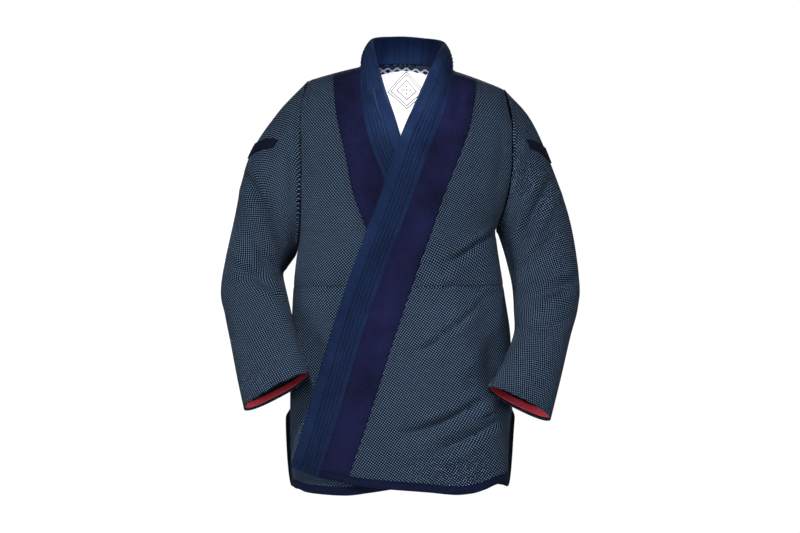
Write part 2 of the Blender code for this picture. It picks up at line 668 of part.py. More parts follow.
def build_fronts():
    gap = SEAM_GAP / 2
    upper = WAIST + gap + crowded(ROWS["upper"]) * (RIDGE - SHOULDER_GAP - WAIST - gap)
    left_upper = panel("front", upper, line_arcs(LEFT_BAND, gap), edge_arc("front", "left"),
                       COLUMNS["front"], True)
    right_upper = panel("front", upper, edge_arc("front", "right"), line_arcs(RIGHT_BAND, -gap),
                        COLUMNS["front"])
    cloth("front_left_upper", left_upper, CLOTH, "pearl_weave")
    cloth("front_right_upper", right_upper, CLOTH, "pearl_weave")

    top = WAIST - gap
    rows = slit_rows(top, LEFT_HEM[-1][1], LEFT_CORNER)
    left_skirt = hemmed("front", top, rows, line_arcs(LEFT_BAND, gap), edge_arc("front", "left"),
                        LEFT_HEM, COLUMNS["skirt"], True)
    rows = slit_rows(top, RIGHT_HEM[0][1], RIGHT_CORNER)
    right_skirt = hemmed("front", top, rows, edge_arc("front", "right"), line_arcs(RIGHT_BAND, -gap),
                         RIGHT_HEM, COLUMNS["skirt"])
    cloth("front_left_skirt", left_skirt, CLOTH, "pearl_weave")
    cloth("front_right_skirt", right_skirt, CLOTH, "pearl_weave")

    top = RIDGE - SHOULDER_GAP
    rows = [(down, 0.0) for down in np.linspace(0, 1, ROWS["band"] + 1)]
    left_band = hemmed("front", top, rows, line_arcs(LEFT_SEAM, gap), line_arcs(LEFT_BAND, -gap),
                       LEFT_HEM, COLUMNS["band"], True)
    right_band = hemmed("front", top, rows, line_arcs(RIGHT_BAND, gap), line_arcs(RIGHT_SEAM, -gap),
                        RIGHT_HEM, COLUMNS["band"])
    cloth("band_left", left_band, CLOTH, "purple_navy_twill")
    cloth("band_right", right_band, CLOTH, "purple_navy_twill")


def armhole(side, turns):
    """The armhole's edge, by the turn round it from the shoulder down the front and up the back."""
    end = -1 if side == "left" else 0
    heights = np.linspace(ARMPIT, RIDGE, 120)
    front = np.array([row("front", round(h, 6))[0][end] for h in heights])[::-1]
    back = np.array([row("back", round(h, 6))[0][end] for h in heights])
    loop = []
    for edge, share in ((front, turns[turns <= 0.5] * 2), (back, turns[turns > 0.5] * 2 - 1)):
        lengths = np.concatenate(([0.0], np.cumsum(np.linalg.norm(np.diff(edge, axis=0), axis=1))))
        loop.append(np.column_stack([np.interp(share * lengths[-1], lengths, edge[:, i]) for i in range(3)]))
    points = np.vstack(loop)
    low = (1 - np.cos(turns * 2 * math.pi)) / 2
    sign = 1 if side == "left" else -1
    points[:, 0] += sign * (SLEEVE_START + (ARMPIT_START - SLEEVE_START) * low**2)
    return points


@functools.lru_cache(maxsize=None)
def sleeve_rings(side, around):
    turns = np.arange(around) / around
    rings = [armhole(side, turns)]
    angle = turns * 2 * math.pi
    for values in SLEEVES[side]:
        v = dict(zip(SLEEVE_COLUMNS, values))
        outer = np.array((v["outer_x"], v["y"], v["outer_z"]))
        inner = np.array((v["inner_x"], v["y"], v["inner_z"]))
        lean = math.radians(v["lean"])
        forward = np.array((0.0, -math.cos(lean), math.sin(lean))) * v["half_depth"]
        c = np.sign(np.cos(angle)) * np.abs(np.cos(angle)) ** (2 / v["power"])
        s = np.sign(np.sin(angle)) * np.abs(np.sin(angle)) ** (2 / v["power"])
        rings.append((outer + inner) / 2 + c[:, None] * (outer - inner) / 2 + s[:, None] * forward)
    return np.array(rings)


def sleeve_grid(side, along, around=SLEEVE_AROUND, offset=0.0):
    """Rings of the sleeve at places along it, from 0 at the armhole, moved out by its folds and an offset."""
    rings = sleeve_rings(side, around)
    knots = np.arange(len(rings), dtype=float)
    slopes = np.gradient(rings, axis=0)
    grid = np.array([hermite(knots, rings, u, slopes) for u in along])
    wrapped = np.concatenate((grid[:, -1:], grid, grid[:, :1]), axis=1)
    facing = normals(wrapped, -1 if side == "left" else 1)[:, 1:-1]
    centre = grid.mean(axis=1, keepdims=True)
    if np.sum(facing * (grid - centre)) < 0:
        facing = -facing
    fade = smoothstep(0.0, SLEEVE_FOLD_FADE, np.asarray(along, dtype=float))[:, None]
    frontward = smoothstep(*SLEEVE_FOLD_FACING, -facing[:, :, 1])
    out = folds(SLEEVE_FOLDS[side], grid[:, :, 0], grid[:, :, 2]) * frontward * fade + offset
    return grid + facing * out[:, :, None]


def build_sleeves():
    for side in ("right", "left"):
        last = len(SLEEVES[side])
        for name, start, end, count in (
            ("sleeve_upper_", 0, ELBOW - ELBOW_GAP, SLEEVE_ALONG["upper"]),
            ("sleeve_lower_", ELBOW + ELBOW_GAP, last, SLEEVE_ALONG["lower"]),
        ):
            along = np.linspace(start, end, count + 1)
            tube(name + side, sleeve_grid(side, along), CLOTH, "pearl_weave")
        low = last - CUFF_TAPE_INSET / LAST_STRETCH
        inside = -(CLOTH / 2 + SEAM_GAP + CUFF_TAPE_THICK / 2)
        tape = sleeve_grid(side, np.linspace(low - CUFF_TAPE_WIDTH / LAST_STRETCH, low, 3), offset=inside)
        tube("cuff_tape_" + side, tape, CUFF_TAPE_THICK, "red_tape")
        build_patch(side)


def build_patch(side):
    outside = CLOTH / 2 + LAYER_GAP + PATCH_THICK / 2
    turns = np.linspace(*PATCH_TURN, COLUMNS["patch"] + 1)
    grid = []
    for middle in np.linspace(*PATCH_STRETCH[side], ROWS["patch"] + 1):
        line = []
        for turn in turns:
            along = middle - PATCH_BEND * (1 - math.cos(turn * 2 * math.pi))
            rings = sleeve_grid(side, [along - PATCH_STEP, along, along + PATCH_STEP], PATCH_AROUND, outside)
            line.append(rings[1][round(turn * PATCH_AROUND) % PATCH_AROUND])
        grid.append(line)
    cloth("patch_" + side, np.array(grid), PATCH_THICK, "navy_patch", flip=side == "right")


def tape_strip(name, face, path, on_top):
    """A folded tape over an edge: path gives its outer and inner edge in row length and height."""
    outer = np.array([place(face, h, [a])[0] for a, h in path[0]])
    inner = np.array([place(face, h, [a])[0] for a, h in path[1]])
    grid = np.stack((outer, (outer + inner) / 2, inner), axis=1)
    facing = normals(grid, 1)
    if np.sum(facing[:, :, 1]) * (1 if face == "front" else -1) > 0:
        facing = -facing
    table = FRONT_FOLDS if face == "front" else BACK_FOLDS
    rise = folds(table, grid[:, :, 0], grid[:, :, 2])
    if on_top:
        rise = rise + top_lift(grid[:, :, 0], grid[:, :, 2])
    grid = grid + facing * rise[:, :, None]
    half = facing * TAPE_THICK / 2
    half[:, 0] *= TAPE_EDGE_SHARE
    sections = np.concatenate((grid + half, (grid - half)[:, ::-1]), axis=1)
    sweep(name, sections, "navy_tape")


def hem_path(face, side, hem, corner, start):
    """Outer and inner edge of the tape along a hem, round its corner and up the slit, as arcs and heights."""
    low = hem[-1][1] if side == "left" else hem[0][1]
    paths = []
    for inset in (0.0, TAPE_WIDTH):
        edge = edge_arc(face, side)
        corner_x = place(face, low + inset, [edge(low + inset, corner[0])])[0][0]
        path = []
        for x in np.linspace(start(inset), corner_x, COLUMNS["tape"] + 1)[:-1]:
            h = curve(hem, x) + inset
            path.append((arc_at(face, h, x), h))
        for turn in np.radians(np.linspace(90, 0, ROWS["corner"] + 1)):
            across, up = round_corner(corner, inset, turn)
            path.append((edge(low + up, across), low + up))
        for h in slit_heights(low, corner)[1:]:
            path.append((edge(h, inset + SEAM_GAP / 2), h))
        paths.append(path)
    return paths


def build_bindings():
    def beside(seam, hem, by):
        def start(inset):
            x = seam[0][1]
            for _ in range(5):
                x = curve(seam, curve(hem, x) + inset) + by
            return x
        return start

    left = hem_path("front", "left", LEFT_HEM, LEFT_CORNER, beside(LEFT_SEAM, LEFT_HEM, SEAM_GAP))
    tape_strip("hem_binding_front_left", "front", left, True)
    right = hem_path("front", "right", RIGHT_HEM, RIGHT_CORNER, beside(RIGHT_SEAM, RIGHT_HEM, -SEAM_GAP))
    tape_strip("hem_binding_front_right", "front", right, False)
    halves = [hem_path("back", side, BACK_HEM, BACK_CORNER, lambda inset: 0.0) for side in ("right", "left")]
    whole = [right_edge[:0:-1] + left_edge for right_edge, left_edge in zip(*halves)]
    tape_strip("hem_binding_back", "back", whole, False)


def clear_scene():
    for obj in list(bpy.data.objects):
        bpy.data.objects.remove(obj)
    collection = bpy.data.collections.new(COLLECTION)
    bpy.context.scene.collection.children.link(collection)


clear_scene()
build_lapel()
build_fronts()
build_back()
build_sleeves()
build_bindings()
build_inside_back()
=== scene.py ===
import math

import bmesh
import bpy
import numpy as np
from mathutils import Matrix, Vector


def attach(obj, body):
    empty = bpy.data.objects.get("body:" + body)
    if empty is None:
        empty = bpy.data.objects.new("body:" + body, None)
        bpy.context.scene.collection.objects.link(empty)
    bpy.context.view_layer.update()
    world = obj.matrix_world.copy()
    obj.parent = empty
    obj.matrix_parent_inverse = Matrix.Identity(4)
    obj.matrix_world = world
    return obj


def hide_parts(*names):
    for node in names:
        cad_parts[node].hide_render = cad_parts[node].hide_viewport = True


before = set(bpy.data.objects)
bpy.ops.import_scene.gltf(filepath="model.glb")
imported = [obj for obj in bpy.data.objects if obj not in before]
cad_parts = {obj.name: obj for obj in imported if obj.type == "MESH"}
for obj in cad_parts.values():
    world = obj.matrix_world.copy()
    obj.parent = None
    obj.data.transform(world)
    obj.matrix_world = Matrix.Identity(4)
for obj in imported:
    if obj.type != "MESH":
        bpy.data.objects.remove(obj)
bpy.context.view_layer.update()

print("scene: frame loaded")

# A jiu-jitsu gi jacket, filled out as if worn. The front faces -Y, the wearer's left is at +X.

cloth = {
    "wall": 0.0020,          # pearl weave, one layer
    "seamGap": 0.0004,
    "seamLap": 0.0006,       # the side edges are laid this far out, up to the net's end on the seam
    "neckLap": 0.0012,       # the back's neck edge runs this far into the lapel
    "shoulderGap": 0.0005,
    "layerGap": 0.0010,
    "seamDip": 0.0008,
    "seamReach": 0.0030,
    "waist": -0.3746,
    "slitTop": -0.585,
    "slitCut": 0.0006,       # the slit starts this far under its top, and its tape
    "tapeCut": 0.0012,
    "lift": 0.0122,          # the top front lies over the other one
    "liftEdge": 0.004,
    "liftFade": 0.045,
    "liftSide": (0.160, 0.182),
    "liftTop": (-0.115, -0.035),
}
corners = {"left": (0.070, 0.045), "right": (0.058, 0.040), "back": (0.040, 0.034)}
neckHole = {"centre": 0.005, "half": 0.0815, "depth": 0.072, "lowest": -0.10}
weaveTurn = {            # how far each panel's weave is turned, in degrees
    "frontUpper": {"right": -38, "left": 30}, "frontSkirt": {"right": -42, "left": 34},
    "backUpper": 30, "backSkirt": 34, "sleeve": {"right": 12, "left": -12},
}
armpit = -0.300
ridge = 0.045
edgeDrop = 1.5

# The torso by level: h runs along the cloth, "right" and "left" are the wearer's
levelColumns = (
    "h", "zFront", "zBack", "zRight", "zLeft", "xRight", "xLeft", "flare",
    "yFront", "yBack", "kFront", "kBack", "power",
)
levels = np.array((
    (-0.760, -0.760, -0.760, -0.760, -0.760, 0.190, 0.176, 0.006, -0.131, 0.127, 0.24, 0.18, 4.4),
    (-0.660, -0.660, -0.660, -0.660, -0.660, 0.195, 0.180, 0.010, -0.130, 0.126, 0.17, 0.13, 4.1),
    (-0.605, -0.605, -0.605, -0.605, -0.605, 0.197, 0.184, 0.009, -0.127, 0.123, 0.06, 0.05, 3.7),
    (-0.585, -0.585, -0.585, -0.585, -0.585, 0.197, 0.187, 0.000, -0.126, 0.121, 0.00, 0.00, 3.7),
    (-0.470, -0.470, -0.470, -0.470, -0.470, 0.196, 0.185, 0.000, -0.120, 0.113, 0.00, 0.00, 3.2),
    (-0.380, -0.380, -0.380, -0.380, -0.380, 0.192, 0.173, 0.000, -0.119, 0.112, 0.00, 0.00, 3.0),
    (-0.300, -0.296, -0.296, -0.309, -0.278, 0.184, 0.159, 0.000, -0.122, 0.116, 0.00, 0.00, 2.9),
    (-0.283, -0.281, -0.280, -0.300, -0.268, 0.182, 0.162, 0.000, -0.123, 0.117, 0.27, 0.30, 2.8),
    (-0.240, -0.240, -0.235, -0.262, -0.235, 0.178, 0.173, 0.000, -0.125, 0.118, 0.46, 0.50, 2.7),
    (-0.160, -0.160, -0.150, -0.180, -0.170, 0.176, 0.185, 0.000, -0.119, 0.116, 0.58, 0.62, 2.6),
    (-0.080, -0.082, -0.051, -0.098, -0.103, 0.178, 0.186, 0.000, -0.098, 0.103, 0.64, 0.66, 2.5),
    (-0.020, -0.022, 0.016, -0.042, -0.053, 0.173, 0.180, 0.000, -0.061, 0.078, 0.67, 0.67, 2.4),
    (0.015, 0.007, 0.0255, -0.021, -0.035, 0.168, 0.175, 0.000, -0.027, 0.043, 0.68, 0.68, 2.4),
    (0.045, 0.020, 0.020, -0.015, -0.030, 0.166, 0.173, 0.000, 0.006, 0.006, 0.68, 0.68, 2.4),
))

# Lines down the fronts: height, place across
leftSeam = (
    (-0.695, -0.1430), (-0.599, -0.1133), (-0.464, -0.0745), (-0.329, -0.0289), (-0.2278, 0.0099),
    (-0.1266, 0.0453), (-0.0929, 0.0588), (-0.050, 0.0715), (0.001, 0.0865),
)
leftBand = (
    (-0.700, -0.0945), (-0.599, -0.0601), (-0.464, -0.0171), (-0.329, 0.0284), (-0.2278, 0.0639),
    (-0.1435, 0.0976), (-0.0929, 0.1145), (-0.0198, 0.1259), (0.000, 0.1280),
)
rightSeam = (
    (-0.700, 0.0885), (-0.500, 0.0450), (-0.329, 0.0065), (-0.1924, -0.0306), (-0.1435, -0.0509),
    (-0.0929, -0.0644), (-0.050, -0.0725), (0.0081, -0.0765),
)
rightBand = (
    (-0.700, 0.0480), (-0.500, 0.0005), (-0.287, -0.0610), (-0.211, -0.0880), (-0.152, -0.0998),
    (-0.076, -0.1167), (-0.018, -0.1226), (0.010, -0.1235),
)
underEdge = ((-0.700, 0.156), (-0.500, 0.103), (-0.329, 0.062), (-0.1924, 0.025), (-0.120, 0.010))

# Hems: place across, height
leftHem = (
    (-0.190, -0.687), (-0.145, -0.6951), (-0.108, -0.7019), (-0.083, -0.7086), (-0.041, -0.7137),
    (0.044, -0.7204), (0.089, -0.7244), (0.113, -0.7222), (0.133, -0.7160), (0.148, -0.7090),
    (0.165, -0.7050), (0.190, -0.7050),
)
rightHem = (
    (-0.195, -0.7190), (-0.180, -0.7190), (-0.168, -0.7225), (-0.152, -0.7244), (-0.100, -0.7268),
    (-0.058, -0.7220), (0.000, -0.7130), (0.105, -0.7000), (0.160, -0.6920),
)
backHem = ((-0.205, -0.731), (0.190, -0.731))

# Sleeve rings: outer and inner point seen from the front, place in depth, half depth, lean, power
sleeves = {
    "right": (
        (-0.2220, -0.0740, -0.1905, -0.3200, 0.005, 0.073, 0.0, 2.2),
        (-0.2710, -0.1520, -0.1985, -0.3320, 0.003, 0.068, 0.0, 2.2),
        (-0.2955, -0.2580, -0.2060, -0.3430, -0.003, 0.064, 3.0, 2.2),
        (-0.3168, -0.3739, -0.2108, -0.3548, -0.022, 0.059, 8.0, 2.2),
        (-0.3080, -0.4250, -0.2010, -0.3950, -0.046, 0.056, 13.0, 2.2),
        (-0.2960, -0.4730, -0.1905, -0.4330, -0.075, 0.053, 16.0, 2.2),
        (-0.2812, -0.5320, -0.1750, -0.4800, -0.115, 0.048, 17.0, 2.3),
        (-0.2679, -0.5790, -0.1582, -0.5210, -0.150, 0.044, 17.0, 2.3),
    ),
    "left": (
        (0.2200, -0.0820, 0.1675, -0.2880, 0.005, 0.073, 0.0, 2.2),
        (0.2555, -0.1600, 0.1755, -0.3130, 0.003, 0.068, 0.0, 2.2),
        (0.2890, -0.2610, 0.1825, -0.3400, -0.003, 0.064, 3.0, 2.2),
        (0.3035, -0.3640, 0.1890, -0.3740, -0.022, 0.059, 8.0, 2.2),
        (0.2985, -0.4150, 0.1905, -0.4150, -0.048, 0.055, 13.0, 2.2),
        (0.2840, -0.4600, 0.1885, -0.4560, -0.077, 0.052, 16.0, 2.2),
        (0.2630, -0.5320, 0.1665, -0.5020, -0.125, 0.047, 17.0, 2.3),
        (0.2438, -0.5950, 0.1401, -0.5430, -0.165, 0.043, 17.0, 2.3),
    ),
}

# Creases seen from the front: x0, z0, x1, z1, bow, width, height (a trough is negative)
creases = {"Front": (
    (0.150, -0.272, 0.070, -0.322, 0.003, 0.0065, 0.0035),
    (0.155, -0.282, 0.067, -0.336, 0.003, 0.0060, -0.0065),
    (0.137, -0.290, 0.068, -0.347, 0.003, 0.0050, 0.0030),
    (0.125, -0.297, 0.061, -0.358, 0.003, 0.0060, -0.0062),
    (0.112, -0.315, 0.058, -0.372, 0.002, 0.0070, 0.0032),
    (0.140, -0.380, 0.075, -0.440, 0.004, 0.0090, 0.0046),
    (0.138, -0.391, 0.067, -0.453, 0.004, 0.0072, -0.0084),
    (0.128, -0.408, 0.066, -0.466, 0.004, 0.0090, 0.0035),
    (0.066, -0.445, 0.020, -0.474, 0.003, 0.0090, 0.0032),
    (0.069, -0.456, 0.018, -0.485, 0.003, 0.0070, -0.0046),
    (0.112, -0.558, 0.020, -0.606, 0.006, 0.0100, 0.0062),
    (0.122, -0.570, 0.005, -0.622, 0.006, 0.0078, -0.0111),
    (0.140, -0.581, 0.040, -0.634, 0.006, 0.0080, 0.0049),
    (0.164, -0.595, 0.055, -0.650, 0.006, 0.0068, -0.0081),
    (0.150, -0.622, 0.070, -0.668, 0.004, 0.0100, 0.0041),
    (0.142, -0.430, 0.152, -0.530, 0.004, 0.0180, -0.0095),
    (-0.160, -0.420, -0.150, -0.560, 0.004, 0.0190, -0.0108),
    (-0.128, -0.400, -0.105, -0.500, 0.004, 0.0120, 0.0027),
    (-0.086, -0.012, -0.086, -0.143, 0.001, 0.0055, -0.0046),
    (0.099, -0.021, 0.088, -0.090, 0.001, 0.0055, -0.0046),
    (-0.071, -0.557, -0.032, -0.532, 0.002, 0.0070, -0.0030),
    (-0.083, -0.616, -0.041, -0.596, 0.002, 0.0080, -0.0032),
    (-0.054, -0.473, -0.010, -0.447, 0.002, 0.0080, -0.0027),
    (-0.163, -0.020, -0.162, -0.085, 0.002, 0.0080, -0.0041),
    (-0.165, -0.120, -0.160, -0.230, 0.004, 0.0110, -0.0049),
    (0.178, -0.045, 0.182, -0.085, 0.002, 0.0090, -0.0049),
    (0.168, -0.110, 0.160, -0.200, 0.004, 0.0110, -0.0049),
), "Back": (
    (-0.140, -0.330, -0.030, -0.400, 0.006, 0.0100, 0.0034),
    (-0.145, -0.345, -0.040, -0.412, 0.006, 0.0075, -0.0040),
    (0.125, -0.320, 0.030, -0.390, -0.006, 0.0100, 0.0034),
    (0.130, -0.335, 0.040, -0.402, -0.006, 0.0075, -0.0040),
    (-0.150, -0.120, -0.145, -0.230, 0.000, 0.0110, -0.0034),
    (0.155, -0.120, 0.150, -0.230, 0.000, 0.0110, -0.0034),
    (0.110, -0.560, 0.010, -0.620, 0.006, 0.0100, 0.0036),
    (0.115, -0.574, 0.020, -0.634, 0.006, 0.0075, -0.0042),
    (-0.100, -0.590, -0.015, -0.640, -0.006, 0.0090, 0.0030),
)}
outward = {"Front": 1, "Back": -1}
sleeveCreases = {
    "right": (
        (-0.253, -0.178, -0.203, -0.280, 0.005, 0.0090, 0.0049),
        (-0.273, -0.185, -0.212, -0.299, 0.005, 0.0070, -0.0115),
        (-0.286, -0.205, -0.226, -0.312, 0.005, 0.0090, 0.0065),
        (-0.252, -0.292, -0.238, -0.330, 0.000, 0.0100, -0.0092),
        (-0.242, -0.322, -0.213, -0.355, 0.003, 0.0065, -0.0073),
        (-0.300, -0.322, -0.215, -0.378, 0.008, 0.0085, 0.0054),
        (-0.300, -0.337, -0.208, -0.398, 0.008, 0.0078, -0.0062),
        (-0.300, -0.355, -0.205, -0.418, 0.008, 0.0100, 0.0049),
        (-0.290, -0.420, -0.205, -0.455, 0.006, 0.0080, -0.0038),
        (-0.208, -0.110, -0.205, -0.230, 0.004, 0.0090, 0.0051),
    ),
    "left": (
        (0.240, -0.180, 0.192, -0.290, -0.005, 0.0090, 0.0049),
        (0.255, -0.192, 0.200, -0.310, -0.006, 0.0070, -0.0078),
        (0.268, -0.215, 0.215, -0.322, -0.005, 0.0090, 0.0059),
        (0.262, -0.285, 0.200, -0.345, -0.004, 0.0065, -0.0073),
        (0.290, -0.345, 0.205, -0.368, 0.006, 0.0085, 0.0054),
        (0.295, -0.362, 0.195, -0.392, 0.006, 0.0078, -0.0065),
        (0.292, -0.385, 0.205, -0.415, 0.005, 0.0095, 0.0051),
        (0.285, -0.425, 0.205, -0.450, 0.004, 0.0080, -0.0046),
        (0.205, -0.130, 0.195, -0.235, -0.004, 0.0090, 0.0051),
    ),
}


def smooth(table, at):        # a steady curve through a short table, straight past its ends
    knots, values = np.array(sorted(table), float).T
    return steady(knots, values, at)


def steady(knots, values, at):
    at = np.asarray(at, float)
    steps = np.diff(values) / np.diff(knots)
    before = np.concatenate((steps[:1], steps))
    after = np.concatenate((steps, steps[-1:]))
    same = before * after > 0
    slopes = np.where(same, 2 * before * after / np.where(same, before + after, 1.0), 0.0)
    slopes[0], slopes[-1] = steps[0], steps[-1]
    i = np.clip(np.searchsorted(knots, at) - 1, 0, len(knots) - 2)
    span = knots[i + 1] - knots[i]
    t = np.clip((at - knots[i]) / span, 0.0, 1.0)
    out = between(values, span * slopes[i], span * slopes[i + 1], i, t)
    beyond = at - np.clip(at, knots[0], knots[-1])
    return out + beyond * np.where(at < knots[0], slopes[0], slopes[-1])


def between(values, slopeHere, slopeNext, i, t):      # a smooth cubic from value i to the next
    out = (2 * t**3 - 3 * t**2 + 1) * values[i] + (t**3 - 2 * t**2 + t) * slopeHere
    return out + ((3 * t**2 - 2 * t**3) * values[i + 1] + (t**3 - t**2) * slopeNext)


def ease(low, high, value):
    t = np.clip((value - low) / (high - low), 0.0, 1.0)
    return t * t * (3 - 2 * t)


def unit(vectors):
    return vectors / np.maximum(np.linalg.norm(vectors, axis=-1, keepdims=True), 1e-12)


def runAlong(points):         # the length along a row of points, from its first one
    return np.concatenate(([0.0], np.cumsum(np.linalg.norm(np.diff(points, axis=0), axis=1))))


def pointsAt(lengths, run, points):
    return np.column_stack([np.interp(lengths, run, points[:, i]) for i in range(3)])


def bisected(low, high, isUnder):
    for _ in range(24):
        middle = (low + high) / 2
        under = isUnder(middle)
        low, high = np.where(under, middle, low), np.where(under, high, middle)
    return (low + high) / 2


# The torso's cloth as one fine net a side, by height along the cloth and share of the row
netRows, netColumns = 520, 301


def torsoNet(face):
    heights = np.linspace(-0.775, ridge + 0.012, netRows)
    v = {name: steady(levels[:, 0], levels[:, i], heights) for i, name in enumerate(levelColumns)}
    deep = v["k" + face]
    net = []
    for k in range(netRows):
        halves = []
        p = v["power"][k]
        for side, sign in (("Right", -1), ("Left", 1)):
            edge = v["x" + side][k] + (v["flare"][k] if face == "Back" else 0.0)
            whole = edge / (1 - deep[k] ** p) ** (1 / p)
            last = math.asin((edge / whole) ** (p / 2))
            turn = np.linspace(0, last, 220)
            x = whole * np.sin(turn) ** (2 / p)
            y = v["y" + face][k] * np.cos(turn) ** (2 / p)
            z = v["z" + face][k] + (v["z" + side][k] - v["z" + face][k]) * (x / edge) ** edgeDrop
            halves.append(np.column_stack((sign * x, y, z)))
        points = np.vstack((halves[0][:0:-1], halves[1]))
        run = runAlong(points)
        net.append((pointsAt(np.linspace(0, run[-1], netColumns), run, points), run[-1]))
    return heights, np.array([n[0] for n in net]), np.array([n[1] for n in net])


nets = {face: torsoNet(face) for face in ("Front", "Back")}


def rowLength(face, h):
    heights, _, lengths = nets[face]
    return np.interp(h, heights, lengths)


def place(face, h, arc):      # points of the cloth at a height along it and a length across it
    heights, points, lengths = nets[face]
    h, arc = np.broadcast_arrays(np.asarray(h, float), np.asarray(arc, float))
    row = np.clip((h - heights[0]) / (heights[1] - heights[0]), 0, netRows - 1.001)
    column = np.clip(arc / rowLength(face, h) * (netColumns - 1), 0, netColumns - 1.001)
    i, j = row.astype(int), column.astype(int)
    a, b = (row - i)[..., None], (column - j)[..., None]
    low = points[i, j] * (1 - b) + points[i, j + 1] * b
    high = points[i + 1, j] * (1 - b) + points[i + 1, j + 1] * b
    return low * (1 - a) + high * a


def arcAt(face, h, x):        # the length across the cloth to a place across the body
    h, x = np.broadcast_arrays(np.asarray(h, float), np.asarray(x, float))
    return bisected(np.zeros_like(x), rowLength(face, h), lambda arc: place(face, h, arc)[..., 0] < x)


def lineArc(table, by=0.0):   # a front panel's edge on a line
    heights = nets["Front"][0]
    z = heights.copy()
    for _ in range(6):
        arcs = arcAt("Front", heights, smooth(table, z))
        z = place("Front", heights, arcs)[:, 2]
    return lambda h, inset=0.0: np.interp(h, heights, arcs) + by


def edgeArc(face, side):      # a panel's edge at the side seam, the armhole or a slit
    def arc(h, inset=-cloth["seamLap"]):
        return inset + 0 * h if side == "right" else rowLength(face, h) - inset
    return arc


def creased(table, x, z):
    height = np.zeros_like(x)
    for x0, z0, x1, z1, bow, width, tall in table:
        runX, runZ = x1 - x0, z1 - z0
        run = math.hypot(runX, runZ)
        t = ((x - x0) * runX + (z - z0) * runZ) / run**2
        inside = np.clip(t, 0.0, 1.0)
        side = ((x - x0) * -runZ + (z - z0) * runX) / run
        past = (t - inside) * run
        away = np.hypot(side - bow * 4 * inside * (1 - inside), past)
        swell = 0.55 + 0.45 * np.sin(math.pi * np.clip(inside, 0.02, 0.98))
        height += tall * swell * np.exp(-((away / width) ** 2))
    return height


def topLift(x, z):
    edge = smooth(underEdge, z)
    start = edge + cloth["liftEdge"]
    across = 1 - ease(start, start + cloth["liftFade"], x)
    return cloth["lift"] * across * (1 - ease(*cloth["liftSide"], x)) * (1 - ease(*cloth["liftTop"], z))


def facings(grid, sign):
    return unit(np.cross(np.gradient(grid, axis=1), np.gradient(grid, axis=0))) * sign


def risen(points, face, onTop):       # how far creases and the overlap move the cloth out
    out = creased(creases[face], points[..., 0], points[..., 2])
    return out + topLift(points[..., 0], points[..., 2]) if onTop else out


def raised(grid, face, onTop, offset=0.0):
    return grid + facings(grid, outward[face]) * (risen(grid, face, onTop) + offset)[..., None]


def sunk(grid, face, **sides):     # sewn edges sink a little into the seam
    off, _ = edgesOf(grid, **sides)
    dip = cloth["seamDip"] * np.exp(-((off / cloth["seamReach"]) ** 2))
    return grid - facings(grid, outward[face]) * dip[..., None]


def newPiece(name, bm, material):
    mesh = bpy.data.meshes.new(name)
    bm.to_mesh(mesh)
    bm.free()
    mesh.materials.append(material)
    mesh.shade_smooth()
    piece = bpy.data.objects.new(name, mesh)
    bpy.context.scene.collection.objects.link(piece)
    return piece


def gridMesh(points, **maps):
    # a grid laid on the given points, with a UV layer for each named map
    rows, columns = points.shape[:2]
    bm = bmesh.new()
    bmesh.ops.create_grid(bm, x_segments=columns - 1, y_segments=rows - 1, size=1)
    bm.verts.ensure_lookup_table()
    for vert, at in zip(bm.verts, points.reshape(-1, 3)):
        vert.co = at
    for name, values in maps.items():
        bm.loops.layers.uv.new(name)
    for name, values in maps.items():
        layer, values = bm.loops.layers.uv[name], values.reshape(-1, 2)
        for face in bm.faces:
            for loop in face.loops:
                loop[layer].uv = values[loop.vert.index]
    return bm


def thicken(piece, wall):
    thick = piece.modifiers.new("wall", "SOLIDIFY")
    thick.thickness = wall
    thick.offset = 0.0
    thick.use_even_offset = False


def clothGrid(name, points, flat, wall, material, flip=False):
    # a woven shell on the points, its UVs in metres of flat cloth
    if flip:
        points, flat = points[:, ::-1], flat[:, ::-1]
    piece = newPiece(name, gridMesh(points, cut=flat), material)
    thicken(piece, wall)
    return piece


def flatOf(points):           # cloth lengths across and up a grid, in metres
    across = np.concatenate((np.zeros((points.shape[0], 1)),
                             np.cumsum(np.linalg.norm(np.diff(points, axis=1), axis=2), axis=1)), axis=1)
    up = np.concatenate((np.zeros((1, points.shape[1])),
                         np.cumsum(np.linalg.norm(np.diff(points, axis=0), axis=2), axis=0)), axis=0)
    return across, up


def areaOf(points):
    a = points[1:, :-1] - points[:-1, :-1]
    b = points[:-1, 1:] - points[:-1, :-1]
    return float(np.linalg.norm(np.cross(a, b), axis=2).sum())


# Materials. Colours are sRGB hex values, patterns are worked out in metres of flat cloth.
def hexColour(code):
    channels = [int(code[i:i + 2], 16) / 255 for i in (1, 3, 5)]
    return [c / 12.92 if c <= 0.04045 else ((c + 0.055) / 1.055) ** 2.4 for c in channels] + [1.0]


def addNode(tree, kind, inputs=None, **settings):
    made = tree.nodes.new("ShaderNode" + kind)
    for name, value in settings.items():
        setattr(made, name, value)
    for key, value in (inputs or {}).items():
        if isinstance(value, bpy.types.Node):
            value = value.outputs[0]
        if isinstance(value, bpy.types.NodeSocket):
            tree.links.new(value, made.inputs[key])
        else:
            made.inputs[key].default_value = value
    return made


def newMaterial(name, roughness, sheen=0.0):
    material = bpy.data.materials.new(name)
    material.use_nodes = True
    tree = material.node_tree
    shader = tree.nodes["Principled BSDF"]
    shader.inputs["Roughness"].default_value = roughness
    shader.inputs["Specular IOR Level"].default_value = 0.04
    shader.inputs["Sheen Weight"].default_value = sheen
    shader.inputs["Sheen Roughness"].default_value = 0.5
    return material, tree, shader, addNode(tree, "UVMap", uv_map="cut")


